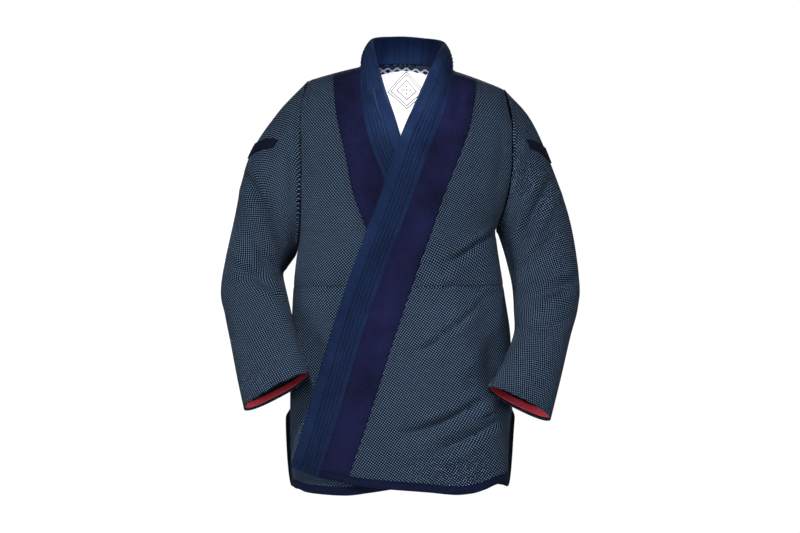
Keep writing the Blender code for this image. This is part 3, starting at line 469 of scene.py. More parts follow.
def nearLine(tree, value, at, half):      # 1 on a line, 0 beyond its soft edges
    off = addNode(tree, "Math", {0: value, 1: at}, operation="SUBTRACT")
    off = addNode(tree, "Math", {0: off}, operation="ABSOLUTE")
    return addNode(tree, "MapRange", {0: off, 1: half * 0.4, 2: half * 1.6, 3: 1.0, 4: 0.0},
                   interpolation_type="SMOOTHSTEP")


def sewnRows(tree, rows, half, bar=()):
    # the sunk line of each row of stitches, by its distance from the nearest sewn edge
    split = addNode(tree, "SeparateXYZ", {0: addNode(tree, "UVMap", uv_map="sewn")})
    total = None
    for axis, places in (("X", rows), ("Y", bar)):
        for at in places:
            line = nearLine(tree, split.outputs[axis], at, half)
            total = line if total is None else addNode(tree, "Math", {0: total, 1: line}, operation="MAXIMUM")
    return total


def finishCloth(tree, shader, colour, relief, line, strength, distance):
    # the colour, and a fine relief with the sewn rows sunk into it
    height = addNode(tree, "Math", {0: relief, 1: line}, operation="SUBTRACT")
    bump = addNode(tree, "Bump", {"Strength": strength, "Distance": distance, "Height": height})
    tree.links.new(colour, shader.inputs["Base Color"])
    tree.links.new(bump.outputs[0], shader.inputs["Normal"])


pearl = {
    "pitch": 0.0037,         # a pearl of the weave every 3.7 mm
    "wander": 0.0012,        # how far the yarns stray
    "ground": ("#070C17", "#101A2A"),
    "pearls": ("#435872", "#71869E"),
    "cover": (0.25, 0.65),
    "rows": (0.0025, 0.0085),
}


def pearlWeave():
    # dyed cotton yarn, woven in pearls: light raised pearls on darker ground threads, quite matt
    material, tree, shader, uv = newMaterial("cottonPearlWeave", 0.95, 0.01)
    stray = addNode(tree, "TexNoise", {"Vector": uv, "Scale": 55.0, "Detail": 2.0})
    at = addNode(tree, "VectorMath", {0: stray.outputs["Color"], 1: (pearl["wander"],) * 3, 2: uv},
                 operation="MULTIPLY_ADD")
    turn = 2 * math.pi / pearl["pitch"]
    wave = addNode(tree, "VectorMath", {0: at, 1: (turn, turn, 0.0)}, operation="MULTIPLY")
    wave = addNode(tree, "VectorMath", {0: wave}, operation="COSINE")
    wave = addNode(tree, "VectorMath", {0: wave, 1: (0.5,) * 3, 2: (0.5,) * 3}, operation="MULTIPLY_ADD")
    split = addNode(tree, "SeparateXYZ", {0: wave})
    both = addNode(tree, "Math", {0: split.outputs["X"], 1: split.outputs["Y"]}, operation="MULTIPLY")
    dots = addNode(tree, "MapRange", {0: both, 1: pearl["cover"][0], 2: pearl["cover"][1]},
                   interpolation_type="SMOOTHSTEP")
    fuzz = addNode(tree, "TexNoise", {"Vector": uv, "Scale": 420.0, "Detail": 3.0})
    patchy = addNode(tree, "TexNoise", {"Vector": uv, "Scale": 9.0, "Detail": 4.0})
    dark, dim = (hexColour(code) for code in pearl["ground"])
    soft, bright = (hexColour(code) for code in pearl["pearls"])
    ground = addNode(tree, "Mix", {0: patchy, 6: dark, 7: dim}, data_type="RGBA").outputs[2]
    light = addNode(tree, "Mix", {0: fuzz, 6: soft, 7: bright}, data_type="RGBA").outputs[2]
    colour = addNode(tree, "Mix", {0: dots, 6: ground, 7: light}, data_type="RGBA").outputs[2]
    line = sewnRows(tree, pearl["rows"], 0.0006)
    # painted shade: the sunk stitch rows are darkened a quarter of the way towards the dark ground colour
    paintedStitchShade = addNode(tree, "Math", {0: line, 1: 0.25}, operation="MULTIPLY")
    colour = addNode(tree, "Mix", {0: paintedStitchShade, 6: colour, 7: dark}, data_type="RGBA").outputs[2]
    relief = addNode(tree, "Math", {0: fuzz, 1: 0.3, 2: dots}, operation="MULTIPLY_ADD")
    finishCloth(tree, shader, colour, relief, line, 0.55, 0.0006)
    return material


def twill(name, dark, light, rows, sunk, half=0.0006, bar=(), pitch=0.0016):
    # dyed cotton twill: fine slanting ribs, drawn 1.6 mm apart in place of 0.8 mm so that they show
    material, tree, shader, uv = newMaterial(name, 0.9, 0.01)
    split = addNode(tree, "SeparateXYZ", {0: uv})
    slant = addNode(tree, "Math", {0: split.outputs["Y"], 1: 0.8, 2: split.outputs["X"]},
                    operation="MULTIPLY_ADD")
    rib = addNode(tree, "Math", {0: slant, 1: 2 * math.pi / pitch}, operation="MULTIPLY")
    rib = addNode(tree, "Math", {0: rib}, operation="SINE")
    fuzz = addNode(tree, "TexNoise", {"Vector": uv, "Scale": 420.0, "Detail": 3.0})
    patchy = addNode(tree, "TexNoise", {"Vector": uv, "Scale": 14.0, "Detail": 5.0, "Roughness": 0.6})
    shade = addNode(tree, "Math", {0: rib, 1: 0.15, 2: fuzz}, operation="MULTIPLY_ADD")
    shade = addNode(tree, "Math", {0: shade, 1: patchy}, operation="ADD")
    shade = addNode(tree, "MapRange", {0: shade, 1: 0.65, 2: 1.35}, interpolation_type="SMOOTHSTEP")
    dark, light = hexColour(dark), hexColour(light)
    colour = addNode(tree, "Mix", {0: shade, 6: dark, 7: light}, data_type="RGBA").outputs[2]
    line = sewnRows(tree, rows, half, bar)
    # painted shade: the sunk stitch rows are darkened towards near-black #03050C, as far as the share given
    # by sunk
    paintedStitchShade = addNode(tree, "Math", {0: line, 1: sunk}, operation="MULTIPLY")
    colour = addNode(tree, "Mix", {0: paintedStitchShade, 6: colour, 7: hexColour("#03050C")}, data_type="RGBA").outputs[2]
    relief = addNode(tree, "Math", {0: rib, 1: 0.2, 2: fuzz}, operation="MULTIPLY_ADD")
    finishCloth(tree, shader, colour, relief, line, 0.4, 0.0004)
    return material


label = {
    "motif": 0.035, "reach": 0.034, "pitch": 0.0066, "line": 0.0012, "diamonds": (1.0, 0.84, 0.52),
    "dotted": 0.42, "colours": ("#EDEDF1", "#1C2030"),
}
trellis = {"pitch": 0.017, "fade": (0.40, 0.60), "colours": ("#131B3C", "#C3C8D8")}


def labelWeave():
    # woven polyester label: smooth and white, with plain nested diamonds round small dots in dark thread
    material, tree, shader, uv = newMaterial("wovenLabel", 0.6)
    at = addNode(tree, "VectorMath", {0: uv, 1: (0.0, label["motif"], 0.0)}, operation="ADD")
    away = addNode(tree, "SeparateXYZ", {0: addNode(tree, "VectorMath", {0: at}, operation="ABSOLUTE")})
    reach = addNode(tree, "Math", {0: away.outputs["X"], 1: away.outputs["Y"]}, operation="ADD")
    wave = addNode(tree, "VectorMath", {0: at, 1: (2 * math.pi / label["pitch"],) * 3}, operation="MULTIPLY")
    wave = addNode(tree, "SeparateXYZ", {0: addNode(tree, "VectorMath", {0: wave}, operation="COSINE")})
    dots = addNode(tree, "Math", {0: wave.outputs["X"], 1: wave.outputs["Y"]}, operation="ADD")
    dots = addNode(tree, "MapRange", {0: dots, 1: 0.6, 2: 1.2}, interpolation_type="SMOOTHSTEP")
    within = nearLine(tree, reach, 0.0, label["reach"] * label["dotted"])
    dots = addNode(tree, "Math", {0: dots, 1: within}, operation="MULTIPLY")
    for share in label["diamonds"]:
        line = nearLine(tree, reach, label["reach"] * share, label["line"])
        dots = addNode(tree, "Math", {0: dots, 1: line}, operation="MAXIMUM")
    white, thread = (hexColour(code) for code in label["colours"])
    colour = addNode(tree, "Mix", {0: dots, 6: white, 7: thread}, data_type="RGBA")
    tree.links.new(colour.outputs[2], shader.inputs["Base Color"])
    return material


def trellisLining():
    # printed polyester lining: a plain white trellis on navy, drawn with lines of 4 mm so that they show
    material, tree, shader, uv = newMaterial("printedLining", 0.6)
    split = addNode(tree, "SeparateXYZ", {0: uv})
    full, gone = trellis["fade"]
    lines = None
    for operation in ("ADD", "SUBTRACT"):
        wave = addNode(tree, "Math", {0: split.outputs["X"], 1: split.outputs["Y"]}, operation=operation)
        wave = addNode(tree, "Math", {0: wave, 1: math.pi / trellis["pitch"]}, operation="MULTIPLY")
        wave = addNode(tree, "Math", {0: wave}, operation="SINE")
        wave = addNode(tree, "Math", {0: wave}, operation="ABSOLUTE")
        wave = addNode(tree, "MapRange", {0: wave, 1: full, 2: gone, 3: 1.0, 4: 0.0},
                       interpolation_type="SMOOTHSTEP")
        lines = wave if lines is None else addNode(tree, "Math", {0: lines, 1: wave}, operation="MAXIMUM")
    navy, white = (hexColour(code) for code in trellis["colours"])
    colour = addNode(tree, "Mix", {0: lines, 6: navy, 7: white}, data_type="RGBA")
    tree.links.new(colour.outputs[2], shader.inputs["Base Color"])
    return material


lapelRows = [0.030 - 0.006 * k for k in range(5)]
materials = {
    "pearl": pearlWeave(),
    # the fifth value of each twill is how far its sewn rows are darkened, as painted shade in their grooves
    "band": twill("purpleNavyTwill", "#0A0B1B", "#1B1D40", (0.0022, 0.0075), 0.25),
    "lapel": twill("navyLapelTwill", "#0B142A", "#1A2A4B", lapelRows, 0.45, 0.0010, (0.010,)),
    "tape": twill("navyHemTape", "#090E20", "#141C37", (0.0120,), 0.4),
    "red": twill("redCuffTape", "#F03040", "#FF7080", (0.0025,), 0.2),
    "patch": twill("navyPatch", "#090D19", "#131A2B", (0.0018,), 0.3),
    "label": labelWeave(),
    "lining": trellisLining(),
}
print("scene: materials made")


declared = []


def declare(piece, nodes, width, length, area=None):
    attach(piece, "root")
    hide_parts(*nodes)
    declared.append((piece.name, round(width, 3), round(length, 3), round(area or width * length, 4)))


def dress(piece, nodes, points):
    across, up = flatOf(points)
    width, length = float(across[:, -1].max()), float(up[-1].max())
    declare(piece, nodes, width, length, min(areaOf(points), width * length))


def sewnMap(piece, off, run, flip=False):
    # a second UV map: distance from the nearest sewn edge, and the run along it
    if flip:
        off, run = off[:, ::-1], run[:, ::-1]
    mesh = piece.data
    layer = mesh.uv_layers.new(name="sewn")
    index = np.zeros(len(mesh.loops), int)
    mesh.loops.foreach_get("vertex_index", index)
    values = np.column_stack((off.ravel()[index], run.ravel()[index]))
    layer.data.foreach_set("uv", values.ravel())
    mesh.uv_layers.active = mesh.uv_layers["cut"]


def edgesOf(points, left=False, right=False, bottom=False, top=False):
    across, up = flatOf(points)
    far = np.full(across.shape, 1.0)
    run = np.zeros(across.shape)
    for wanted, off, along in ((left, across, up), (right, across[:, -1:] - across, up),
                               (bottom, up, across), (top, up[-1:] - up, across)):
        if wanted:
            nearer = off < far
            far, run = np.where(nearer, off, far), np.where(nearer, along, run)
    return far, run


def turned(u, v, degrees):
    a = math.radians(degrees)
    return np.stack((u * math.cos(a) - v * math.sin(a), u * math.sin(a) + v * math.cos(a)), axis=-1)


tapeSize = {
    "width": 0.015, "thick": 0.0036, "under": 0.009,
    "share": (0.0, 0.06, 0.3, 0.65, 0.94, 1.0), "swell": (0.35, 0.72, 0.92, 1.0, 1.0, 0.8),
}
hemCut = tapeSize["under"]


def hemmedGrid(face, top, down, inset, start, end, hem, columns, onTop):
    across = np.linspace(0, 1, columns + 1)[None, :]
    down, inset = np.asarray(down)[:, None], np.asarray(inset)[:, None]
    x = np.zeros((down.shape[0], columns + 1))
    for _ in range(7):
        h = top + down * (smooth(hem, x) + hemCut - top)
        arc = start(h, inset) * (1 - across) + end(h, inset) * across
        x = place(face, h, arc)[..., 0]
    grid = raised(place(face, h, arc)[::-1], face, onTop)
    return grid, (arc - arcAt(face, h, 0.0))[::-1], h[::-1]


def roundCorner(corner, cut, turn):
    across, up = corner
    return across - (across - cut) * np.cos(turn), up - (up - cut) * np.sin(turn)


def slitRows(top, low, corner, plain, slit, bend):
    whole = low + hemCut - top
    heights = np.linspace(top, cloth["slitTop"], plain)
    down, inset = list((heights - top) / whole), [-cloth["seamLap"]] * plain
    heights = np.linspace(cloth["slitTop"] - cloth["slitCut"], low + corner[1], slit)[:-1]
    down += list((heights - top) / whole)
    inset += [hemCut] * (slit - 1)
    for turn in np.radians(np.linspace(0, 90, bend)):
        i, up = roundCorner(corner, hemCut, turn)
        down.append((low + up - top) / whole)
        inset.append(i)
    return down, inset


gap = cloth["seamGap"] / 2
lines = {
    "leftSeam": lineArc(leftSeam, gap),
    "leftBandIn": lineArc(leftBand, -gap),
    "leftBand": lineArc(leftBand, gap),
    "rightSeam": lineArc(rightSeam, -gap),
    "rightBandIn": lineArc(rightBand, gap),
    "rightBand": lineArc(rightBand, -gap),
}
edges = {(face, side): edgeArc(face, side) for face in ("Front", "Back") for side in ("left", "right")}


def crowdedRows(count, power=1.4):
    return 1 - (1 - np.linspace(0, 1, count + 1)) ** power


def sewnPanel(name, node, grid, flat, slot="pearl_weave", material="pearl", flip=False, **sewn):
    # a cut panel, its sewn edges measured for the rows of stitches
    piece = clothGrid(name, grid, flat, cloth["wall"], materials[material], flip=flip)
    sewnMap(piece, *edgesOf(grid, **sewn), flip=flip)
    dress(piece, [node], grid)


def frontEnds(side):
    if side == "left":
        return lines["leftBand"], edges["Front", "left"]
    return edges["Front", "right"], lines["rightBand"]


def frontUpper(side):
    low = cloth["waist"] + gap
    h = (low + crowdedRows(130, 1.2) * (ridge - cloth["shoulderGap"] - low))[:, None]
    share = np.linspace(0, 1, 64)[None, :]
    start, end = frontEnds(side)
    arc = start(h) * (1 - share) + end(h) * share
    grid = raised(place("Front", h, arc), "Front", side == "left")
    grid = sunk(grid, "Front", left=True, right=True, bottom=True)
    flat = turned(arc - arcAt("Front", h, 0.0), h + 0 * arc, weaveTurn["frontUpper"][side])
    sewnPanel("front%sUpper" % side.capitalize(), "front_%s_upper" % side, grid, flat,
              left=True, right=True, bottom=True)


def frontSkirt(side):
    top = cloth["waist"] - gap
    hem = leftHem if side == "left" else rightHem
    low = hem[-1][1] if side == "left" else hem[0][1]
    down, inset = slitRows(top, low, corners[side], 62, 26, 16)
    grid, arc, h = hemmedGrid("Front", top, down, inset, *frontEnds(side), hem, 96, side == "left")
    grid = sunk(grid, "Front", top=True)
    flat = turned(arc, h, weaveTurn["frontSkirt"][side])
    sewnPanel("front%sSkirt" % side.capitalize(), "front_%s_skirt" % side, grid, flat,
              left=True, right=True, top=True)


def frontBand(side):
    top = ridge - cloth["shoulderGap"]
    down = np.linspace(0, 1, 260)
    onTop = side == "left"
    ends = ("leftSeam", "leftBandIn") if onTop else ("rightBandIn", "rightSeam")
    start, end = (lines[name] for name in ends)
    hem = leftHem if onTop else rightHem
    grid, arc, h = hemmedGrid("Front", top, down, 0 * down, start, end, hem, 16, onTop)
    sewnPanel("band" + side.capitalize(), "band_" + side, grid, np.stack((arc, h), axis=-1),
              "purple_navy_twill", "band", left=not onTop, right=onTop)


def levelOfNeck(x):
    across = np.minimum(np.abs(x - neckHole["centre"]) / neckHole["half"], 1.0)
    depth = neckHole["depth"] * np.sqrt(1 - across**2)
    return bisected(np.full(x.shape, neckHole["lowest"]), np.full(x.shape, ridge),
                    lambda h: place("Back", h, arcAt("Back", h, x))[..., 1] > depth)


def backPanels():
    share = np.linspace(-1, 1, 181)
    topRow = place("Back", ridge, np.array([0.0, rowLength("Back", ridge)]))
    xTop = np.where(share > 0, share * topRow[1][0], -share * topRow[0][0])
    inNeck = np.abs(xTop - neckHole["centre"]) < neckHole["half"]
    high = np.where(inNeck, levelOfNeck(xTop) + cloth["neckLap"], ridge - cloth["shoulderGap"])
    low = cloth["waist"] + gap
    h = low + crowdedRows(120)[:, None] * (high[None, :] - low)
    middle = arcAt("Back", h, 0.0)
    arc = middle + share[None, :] * np.where(share > 0, rowLength("Back", h) - middle, middle)
    grid = raised(place("Back", h, arc), "Back", False)
    grid = sunk(grid, "Back", left=True, right=True, bottom=True)
    flat = turned(arc - middle, h, weaveTurn["backUpper"])
    sewnPanel("backUpper", "back_upper", grid, flat, flip=True, left=True, right=True, bottom=True)

    top = cloth["waist"] - gap
    down, inset = slitRows(top, backHem[0][1], corners["back"], 56, 24, 14)
    start, end = edges["Back", "right"], edges["Back", "left"]
    grid, arc, h = hemmedGrid("Back", top, down, inset, start, end, backHem, 170, False)
    grid = sunk(grid, "Back", top=True)
    flat = turned(arc, h, weaveTurn["backSkirt"])
    sewnPanel("backSkirt", "back_skirt", grid, flat, flip=True, left=True, right=True, top=True)


lapel = {
    "width": 0.050, "thick": 0.0070, "groove": 0.0010, "grooveHalf": 0.0013, "edge": 0.003,
    "lipOver": 0.0022,       # the sewn edge laps that far over the cloth beside it
    "lipUnder": 0.0014, "lipTop": 0.0022, "lipGap": 0.0002,
    "start": 0.0006,         # the ribbed side starts this far from the seam
    "thinner": (0.16, 0.006),    # share that it is thinner at the seam, and how far that reaches
    "under": 0.060,          # where the underside lies in the flat pattern, off the rows
    "topCut": 0.004,
    "stand": ((-0.700, 0.0), (-0.135, 0.0), (-0.108, 12.0), (-0.078, 29.0), (-0.042, 45.0), (0.008, 58.0)),
    "roll": ((-0.700, 0.0), (-0.090, 0.0), (-0.045, 0.0020), (-0.010, 0.0050), (0.008, 0.0065)),
    "backStand": 69.0, "backRoll": 0.0020,
}


def softened(values, times):
    for _ in range(times):
        values[1:-1] = (values[:-2] + 2 * values[1:-1] + values[2:]) / 4
    return values


def blockPoints(face, h, arc, onTop):
    step = 0.004
    at = place(face, h, arc)
    across = place(face, h, arc + step) - place(face, h, arc - step)
    up = place(face, h + step, arc) - place(face, h - step, arc)
    facing = unit(np.cross(across, up)) * outward[face]
    return at + facing * risen(at, face, onTop)[:, None], facing


def lapelFrames():
    leftH = np.linspace(leftSeam[0][0], ridge - lapel["topCut"], 150)
    rightH = np.linspace(ridge - lapel["topCut"], rightSeam[0][0], 150)
    angle = np.linspace(0, math.pi, 60)[1:-1]
    x = neckHole["centre"] + neckHole["half"] * np.cos(angle)
    neckH = levelOfNeck(x)
    runs = (("Front", leftH, lineArc(leftSeam)(leftH), True),
            ("Back", neckH, arcAt("Back", neckH, x), False),
            ("Front", rightH, lineArc(rightSeam)(rightH), False))
    parts = [blockPoints(*run) for run in runs]
    back = np.sin(angle) ** 2

    def along(name, atBack):
        foot = lapel[name][-1][1]
        values = (smooth(lapel[name], parts[0][0][:, 2]), foot * (1 - back) + atBack * back,
                  smooth(lapel[name], parts[2][0][:, 2]))
        return softened(np.concatenate(values), 40)[:, None]

    points = softened(np.vstack([p[0] for p in parts]), 6)
    facing = unit(softened(np.vstack([p[1] for p in parts]), 90))
    stand, roll = np.radians(along("stand", lapel["backStand"])), along("roll", lapel["backRoll"])
    flat = unit(np.cross(facing, unit(np.gradient(points, axis=0))))
    across = flat * np.cos(stand) + facing * np.sin(stand)
    out = facing * np.cos(stand) - flat * np.sin(stand)
    lean = stand + np.arctan(4 * roll / lapel["width"])
    base = points + flat * (cloth["seamGap"] + lapel["thick"] / 2 * np.sin(lean))
    return (base, across, out, roll), (points, flat, facing)


def rolled(frames, w, n):
    # a line along the lapel, w from its seam and n from its middle, bowed by the roll
    base, across, out, roll = frames
    share = w / lapel["width"]
    slope = 4 * roll / lapel["width"] * (1 - 2 * share)
    longer = np.sqrt(1 + slope**2)
    chord = 1 - 8 / 3 * (roll / lapel["width"]) ** 2
    rise = 4 * roll * share * (1 - share) + n / longer
    return base + across * (w * chord - n * slope / longer) + out * rise


def sweepStrip(name, sections, around, material):
    # a closed strip through sections, both ends filled
    closed = np.concatenate((sections, sections[:, :1]), axis=1)
    flat = np.stack(np.meshgrid(around, runAlong(sections.mean(axis=1))), axis=-1)
    bm = gridMesh(closed, cut=flat, sewn=flat)
    bmesh.ops.remove_doubles(bm, verts=bm.verts, dist=1e-6)
    bmesh.ops.holes_fill(bm, edges=bm.edges, sides=closed.shape[1])
    bmesh.ops.recalc_face_normals(bm, faces=bm.faces)
    piece = newPiece(name, bm, material)
    piece.data.set_sharp_from_angle(angle=math.radians(50))
    return piece


def makeLapel():
    frames, (points, flat, facing) = lapelFrames()
    half, edge = lapel["thick"] / 2, lapel["width"] - lapel["edge"]
    w = np.linspace(lapel["start"], edge, 90)
    groove = sum(lapel["groove"] * np.exp(-(((w - row) / lapel["grooveHalf"]) ** 2)) for row in lapelRows)
    thinner, reach = lapel["thinner"]
    section = list(zip(w, half * (1 - thinner * np.clip(1 - w / reach, 0, 1) ** 2) - groove))
    for turn in np.radians(np.linspace(70, -70, 7)):
        section.append((edge + lapel["edge"] * math.cos(turn), half * math.sin(turn) * 0.98))
    section += [(at, -half) for at in np.linspace(edge, lapel["start"], 14)]
    over = points - flat * lapel["lipOver"]
    lip = [over + facing * lapel["lipUnder"], over + facing * lapel["lipTop"]]
    foot = points + flat * (cloth["seamGap"] + lapel["lipGap"]) + facing * lapel["lipUnder"]
    sections = np.array(lip + [rolled(frames, a, n) for a, n in section] + [foot]).transpose(1, 0, 2)
    under = lapel["under"]
    around = [-0.002, -0.001] + [a if n > -half else under for a, n in section] + [under, -0.002]
    piece = sweepStrip("lapel", sections, around, materials["lapel"])
    length = float(np.linalg.norm(np.diff(frames[0], axis=0), axis=1).sum())
    nodes = ["lapel_left", "lapel_neck", "lapel_right"]
    declare(piece, nodes, lapel["width"], length)


sleeveStart, armpitStart = 0.0013, 0.0030      # how far out the sleeve starts, on top and at the armpit


def armholeRing(side, turns):
    end = -1 if side == "left" else 0
    heights = np.linspace(armpit, ridge, 160)
    loop = []
    sides = ("Front", turns[turns <= 0.5] * 2, -1), ("Back", turns[turns > 0.5] * 2 - 1, 1)
    for face, share, order in sides:
        edge = place(face, heights, rowLength(face, heights) if end else 0 * heights)[::order]
        run = runAlong(edge)
        loop.append(pointsAt(share * run[-1], run, edge))
    points = np.vstack(loop)
    low = (1 - np.cos(turns * 2 * math.pi)) / 2
    points[:, 0] += (1 if side == "left" else -1) * (sleeveStart + (armpitStart - sleeveStart) * low**2)
    return points


def sleeveNet(side, steps=230, around=168):
    turns = np.arange(around) / around
    rings = [armholeRing(side, turns)]
    angle = turns * 2 * math.pi
    for outerX, outerZ, innerX, innerZ, y, halfDepth, lean, power in sleeves[side]:
        outer, inner = np.array((outerX, y, outerZ)), np.array((innerX, y, innerZ))
        forward = np.array((0.0, -math.cos(math.radians(lean)), math.sin(math.radians(lean)))) * halfDepth
        c = np.sign(np.cos(angle)) * np.abs(np.cos(angle)) ** (2 / power)
        s = np.sign(np.sin(angle)) * np.abs(np.sin(angle)) ** (2 / power)
        rings.append((outer + inner) / 2 + c[:, None] * (outer - inner) / 2 + s[:, None] * forward)
    rings = np.array(rings)
    slopes = np.gradient(rings, axis=0)
    along = np.linspace(0, len(rings) - 1, steps + 1)
    i = np.clip(along.astype(int), 0, len(rings) - 2)
    t = (along - i)[:, None, None]
    grid = between(rings, slopes[i], slopes[i + 1], i, t)
    wrapped = np.concatenate((grid[:, -1:], grid, grid[:, :1]), axis=1)
    facing = facings(wrapped, 1)[:, 1:-1]
    if np.sum(facing * (grid - grid.mean(axis=1, keepdims=True))) < 0:
        facing = -facing
    fade = ease(0.0, 0.8, along)[:, None]
    frontward = ease(-0.1, 0.6, -facing[:, :, 1])
    out = creased(sleeveCreases[side], grid[:, :, 0], grid[:, :, 2]) * frontward * fade
    return along, grid, grid + facing * out[:, :, None], facing


def tubePiece(name, points, plain, wall, material, degrees=0.0):
    # a round shell on the points, its weave laid straight along the plain tube without creases
    half = points.shape[1] // 2      # the tube's own seam lies on the inner side
    closed, tube = (np.roll(p, half, axis=1) for p in (points, plain))
    closed, tube = (np.concatenate((p, p[:, :1]), axis=1) for p in (closed, tube))
    middle = plain.mean(axis=1)
    run = runAlong(middle)[:, None]
    ahead = unit(np.gradient(middle, axis=0))[:, None]
    up = run + ((tube - middle[:, None]) * ahead).sum(axis=2)
    level = np.sum(np.diff(tube, axis=1) ** 2, axis=2) - np.diff(up, axis=1) ** 2
    across = np.concatenate((0 * run, np.cumsum(np.sqrt(np.maximum(level, 0.0)), axis=1)), axis=1)
    across = across - across[:, half:half + 1]
    ends = np.minimum(run, run[-1] - run + 0 * up)
    bm = gridMesh(closed, cut=turned(across, up, degrees), sewn=np.stack((ends, across), axis=-1))
    bmesh.ops.remove_doubles(bm, verts=bm.verts, dist=1e-6)
    bmesh.ops.recalc_face_normals(bm, faces=bm.faces)
    piece = newPiece(name, bm, material)
    thicken(piece, wall)
    return piece, closed


cuff = {"tapeWidth": 0.014, "tapeInset": 0.003, "tapeThick": 0.0012, "lastStretch": 0.060}
patch = {"thick": 0.0012, "stretch": (1.72, 2.00), "turn": (-0.06, 0.155), "bend": 1.7}


def netPoint(values, along, turn):
    rows, columns = values.shape[:2]
    r = np.clip(along / len(sleeves["left"]) * (rows - 1), 0, rows - 1.001)
    c = (turn % 1.0) * columns
    i, j = r.astype(int), c.astype(int) % columns
    a, b = (r - i)[..., None], (c - c.astype(int))[..., None]
    k = (j + 1) % columns
    low, high = (values[row, j] * (1 - b) + values[row, k] * b for row in (i, i + 1))
    return low * (1 - a) + high * a


def makeSleeves():
    for side in ("right", "left"):
        along, plain, grid, facing = sleeveNet(side)
        piece, closed = tubePiece("sleeve" + side.capitalize(), grid, plain, cloth["wall"],
                                  materials["pearl"], weaveTurn["sleeve"][side])
        dress(piece, ["sleeve_upper_" + side, "sleeve_lower_" + side], closed)
        inside = cloth["wall"] / 2 + cloth["seamGap"] + cuff["tapeThick"] / 2
        low = len(sleeves[side]) - cuff["tapeInset"] / cuff["lastStretch"]
        taped = (along <= low) & (along >= low - cuff["tapeWidth"] / cuff["lastStretch"])
        piece, closed = tubePiece("cuffTape" + side.capitalize(), (grid - facing * inside)[taped],
                                  plain[taped], cuff["tapeThick"], materials["red"])
        dress(piece, ["cuff_tape_" + side], closed)
        outside = cloth["wall"] / 2 + cloth["layerGap"] + patch["thick"] / 2
        middle = np.linspace(*patch["stretch"], 16)[:, None]
        turns = np.linspace(*patch["turn"], 60)[None, :]
        at = middle - patch["bend"] * (1 - np.cos(turns * 2 * math.pi))
        points = netPoint(grid + facing * outside, at, turns + 0 * at)
        across, up = flatOf(points)
        name = "patch" + side.capitalize()
        piece = clothGrid(name, points, np.stack((across, up), axis=-1), patch["thick"], materials["patch"],
                          flip=side == "right")
        sewnMap(piece, *edgesOf(points, True, True, True, True), flip=side == "right")
        dress(piece, ["patch_" + side], points)


def hemPath(face, side, hem, corner, start):
    low = hem[-1][1] if side == "left" else hem[0][1]
    edge = edges[face, side]
    paths = []
    for inset in (0.0, tapeSize["width"]):
        cornerX = float(place(face, low + inset, edge(low + inset, corner[0]))[0])
        x = np.linspace(start(inset), cornerX, 120)[:-1]
        h = smooth(hem, x) + inset
        arcs, heights = [arcAt(face, h, x)], [h]
        turn = np.radians(np.linspace(90, 0, 26))
        across, up = roundCorner(corner, inset, turn)
        arcs.append(edge(low + up, across))
        heights.append(low + up)
        h = np.linspace(low + corner[1], cloth["slitTop"] - cloth["tapeCut"], 30)[1:]
        arcs.append(edge(h, inset + cloth["seamGap"] / 2))
        heights.append(h)
        paths.append((np.concatenate(arcs), np.concatenate(heights)))
    return paths


def tapePiece(name, node, face, paths, onTop):
    outer, inner = (place(face, h, arc) for arc, h in paths)
    share = np.array(tapeSize["share"])
    grid = outer[:, None] * (1 - share[None, :, None]) + inner[:, None] * share[None, :, None]
    facing = facings(grid, 1)
    if np.sum(facing[:, :, 1]) * outward[face] > 0:
        facing = -facing
    grid = grid + facing * risen(grid, face, onTop)[:, :, None]
    half = tapeSize["thick"] / 2 * np.array(tapeSize["swell"])[None, :, None] * facing
    sections = np.concatenate((grid + half, (grid - half)[:, ::-1]), axis=1)
    around = np.concatenate((share, share[::-1], [0.0])) * tapeSize["width"]
    piece = sweepStrip(name, sections, around, materials["tape"])
    length = float(np.linalg.norm(np.diff(outer, axis=0), axis=1).sum())
    declare(piece, [node], tapeSize["width"], length)


def makeBindings():
    def beside(seam, hem, by):
        def start(inset):
            x = seam[0][1]
            for _ in range(6):
                x = float(smooth(seam, float(smooth(hem, x)) + inset)) + by
            return x
        return start

    seamGap = cloth["seamGap"]
    left = hemPath("Front", "left", leftHem, corners["left"], beside(leftSeam, leftHem, seamGap))
    tapePiece("hemTapeFrontLeft", "hem_binding_front_left", "Front", left, True)
    right = hemPath("Front", "right", rightHem, corners["right"], beside(rightSeam, rightHem, -seamGap))
    tapePiece("hemTapeFrontRight", "hem_binding_front_right", "Front", right, False)
    halves = [hemPath("Back", side, backHem, corners["back"], lambda inset: 0.0)
              for side in ("right", "left")]
    whole = [tuple(np.concatenate((r[:0:-1], l)) for r, l in zip(*edge)) for edge in zip(*halves)]
    tapePiece("hemTapeBack", "hem_binding_back", "Back", whole, False)


inside = {
    "liningThick": 0.0010, "liningGap": 0.0020, "liningHalf": 0.065,
    "liningDrop": 0.004, "liningBottom": -0.175,
    "labelThick": 0.0008, "labelGap": 0.0015, "labelHalf": 0.060,
    "labelTop": -0.026, "labelBottom": -0.124,
}


def insideSheet(h, x, inward):
    arc = arcAt("Back", h, x + 0 * h)
    grid = raised(place("Back", h, arc), "Back", False, -inward)
    across, up = flatOf(grid)
    middle = across.shape[1] // 2
    return grid, np.stack((across - across[:, middle:middle + 1], up - up[-1:]), axis=-1)


def columnsBy(half, count):
    return np.linspace(neckHole["centre"] - half, neckHole["centre"] + half, count)


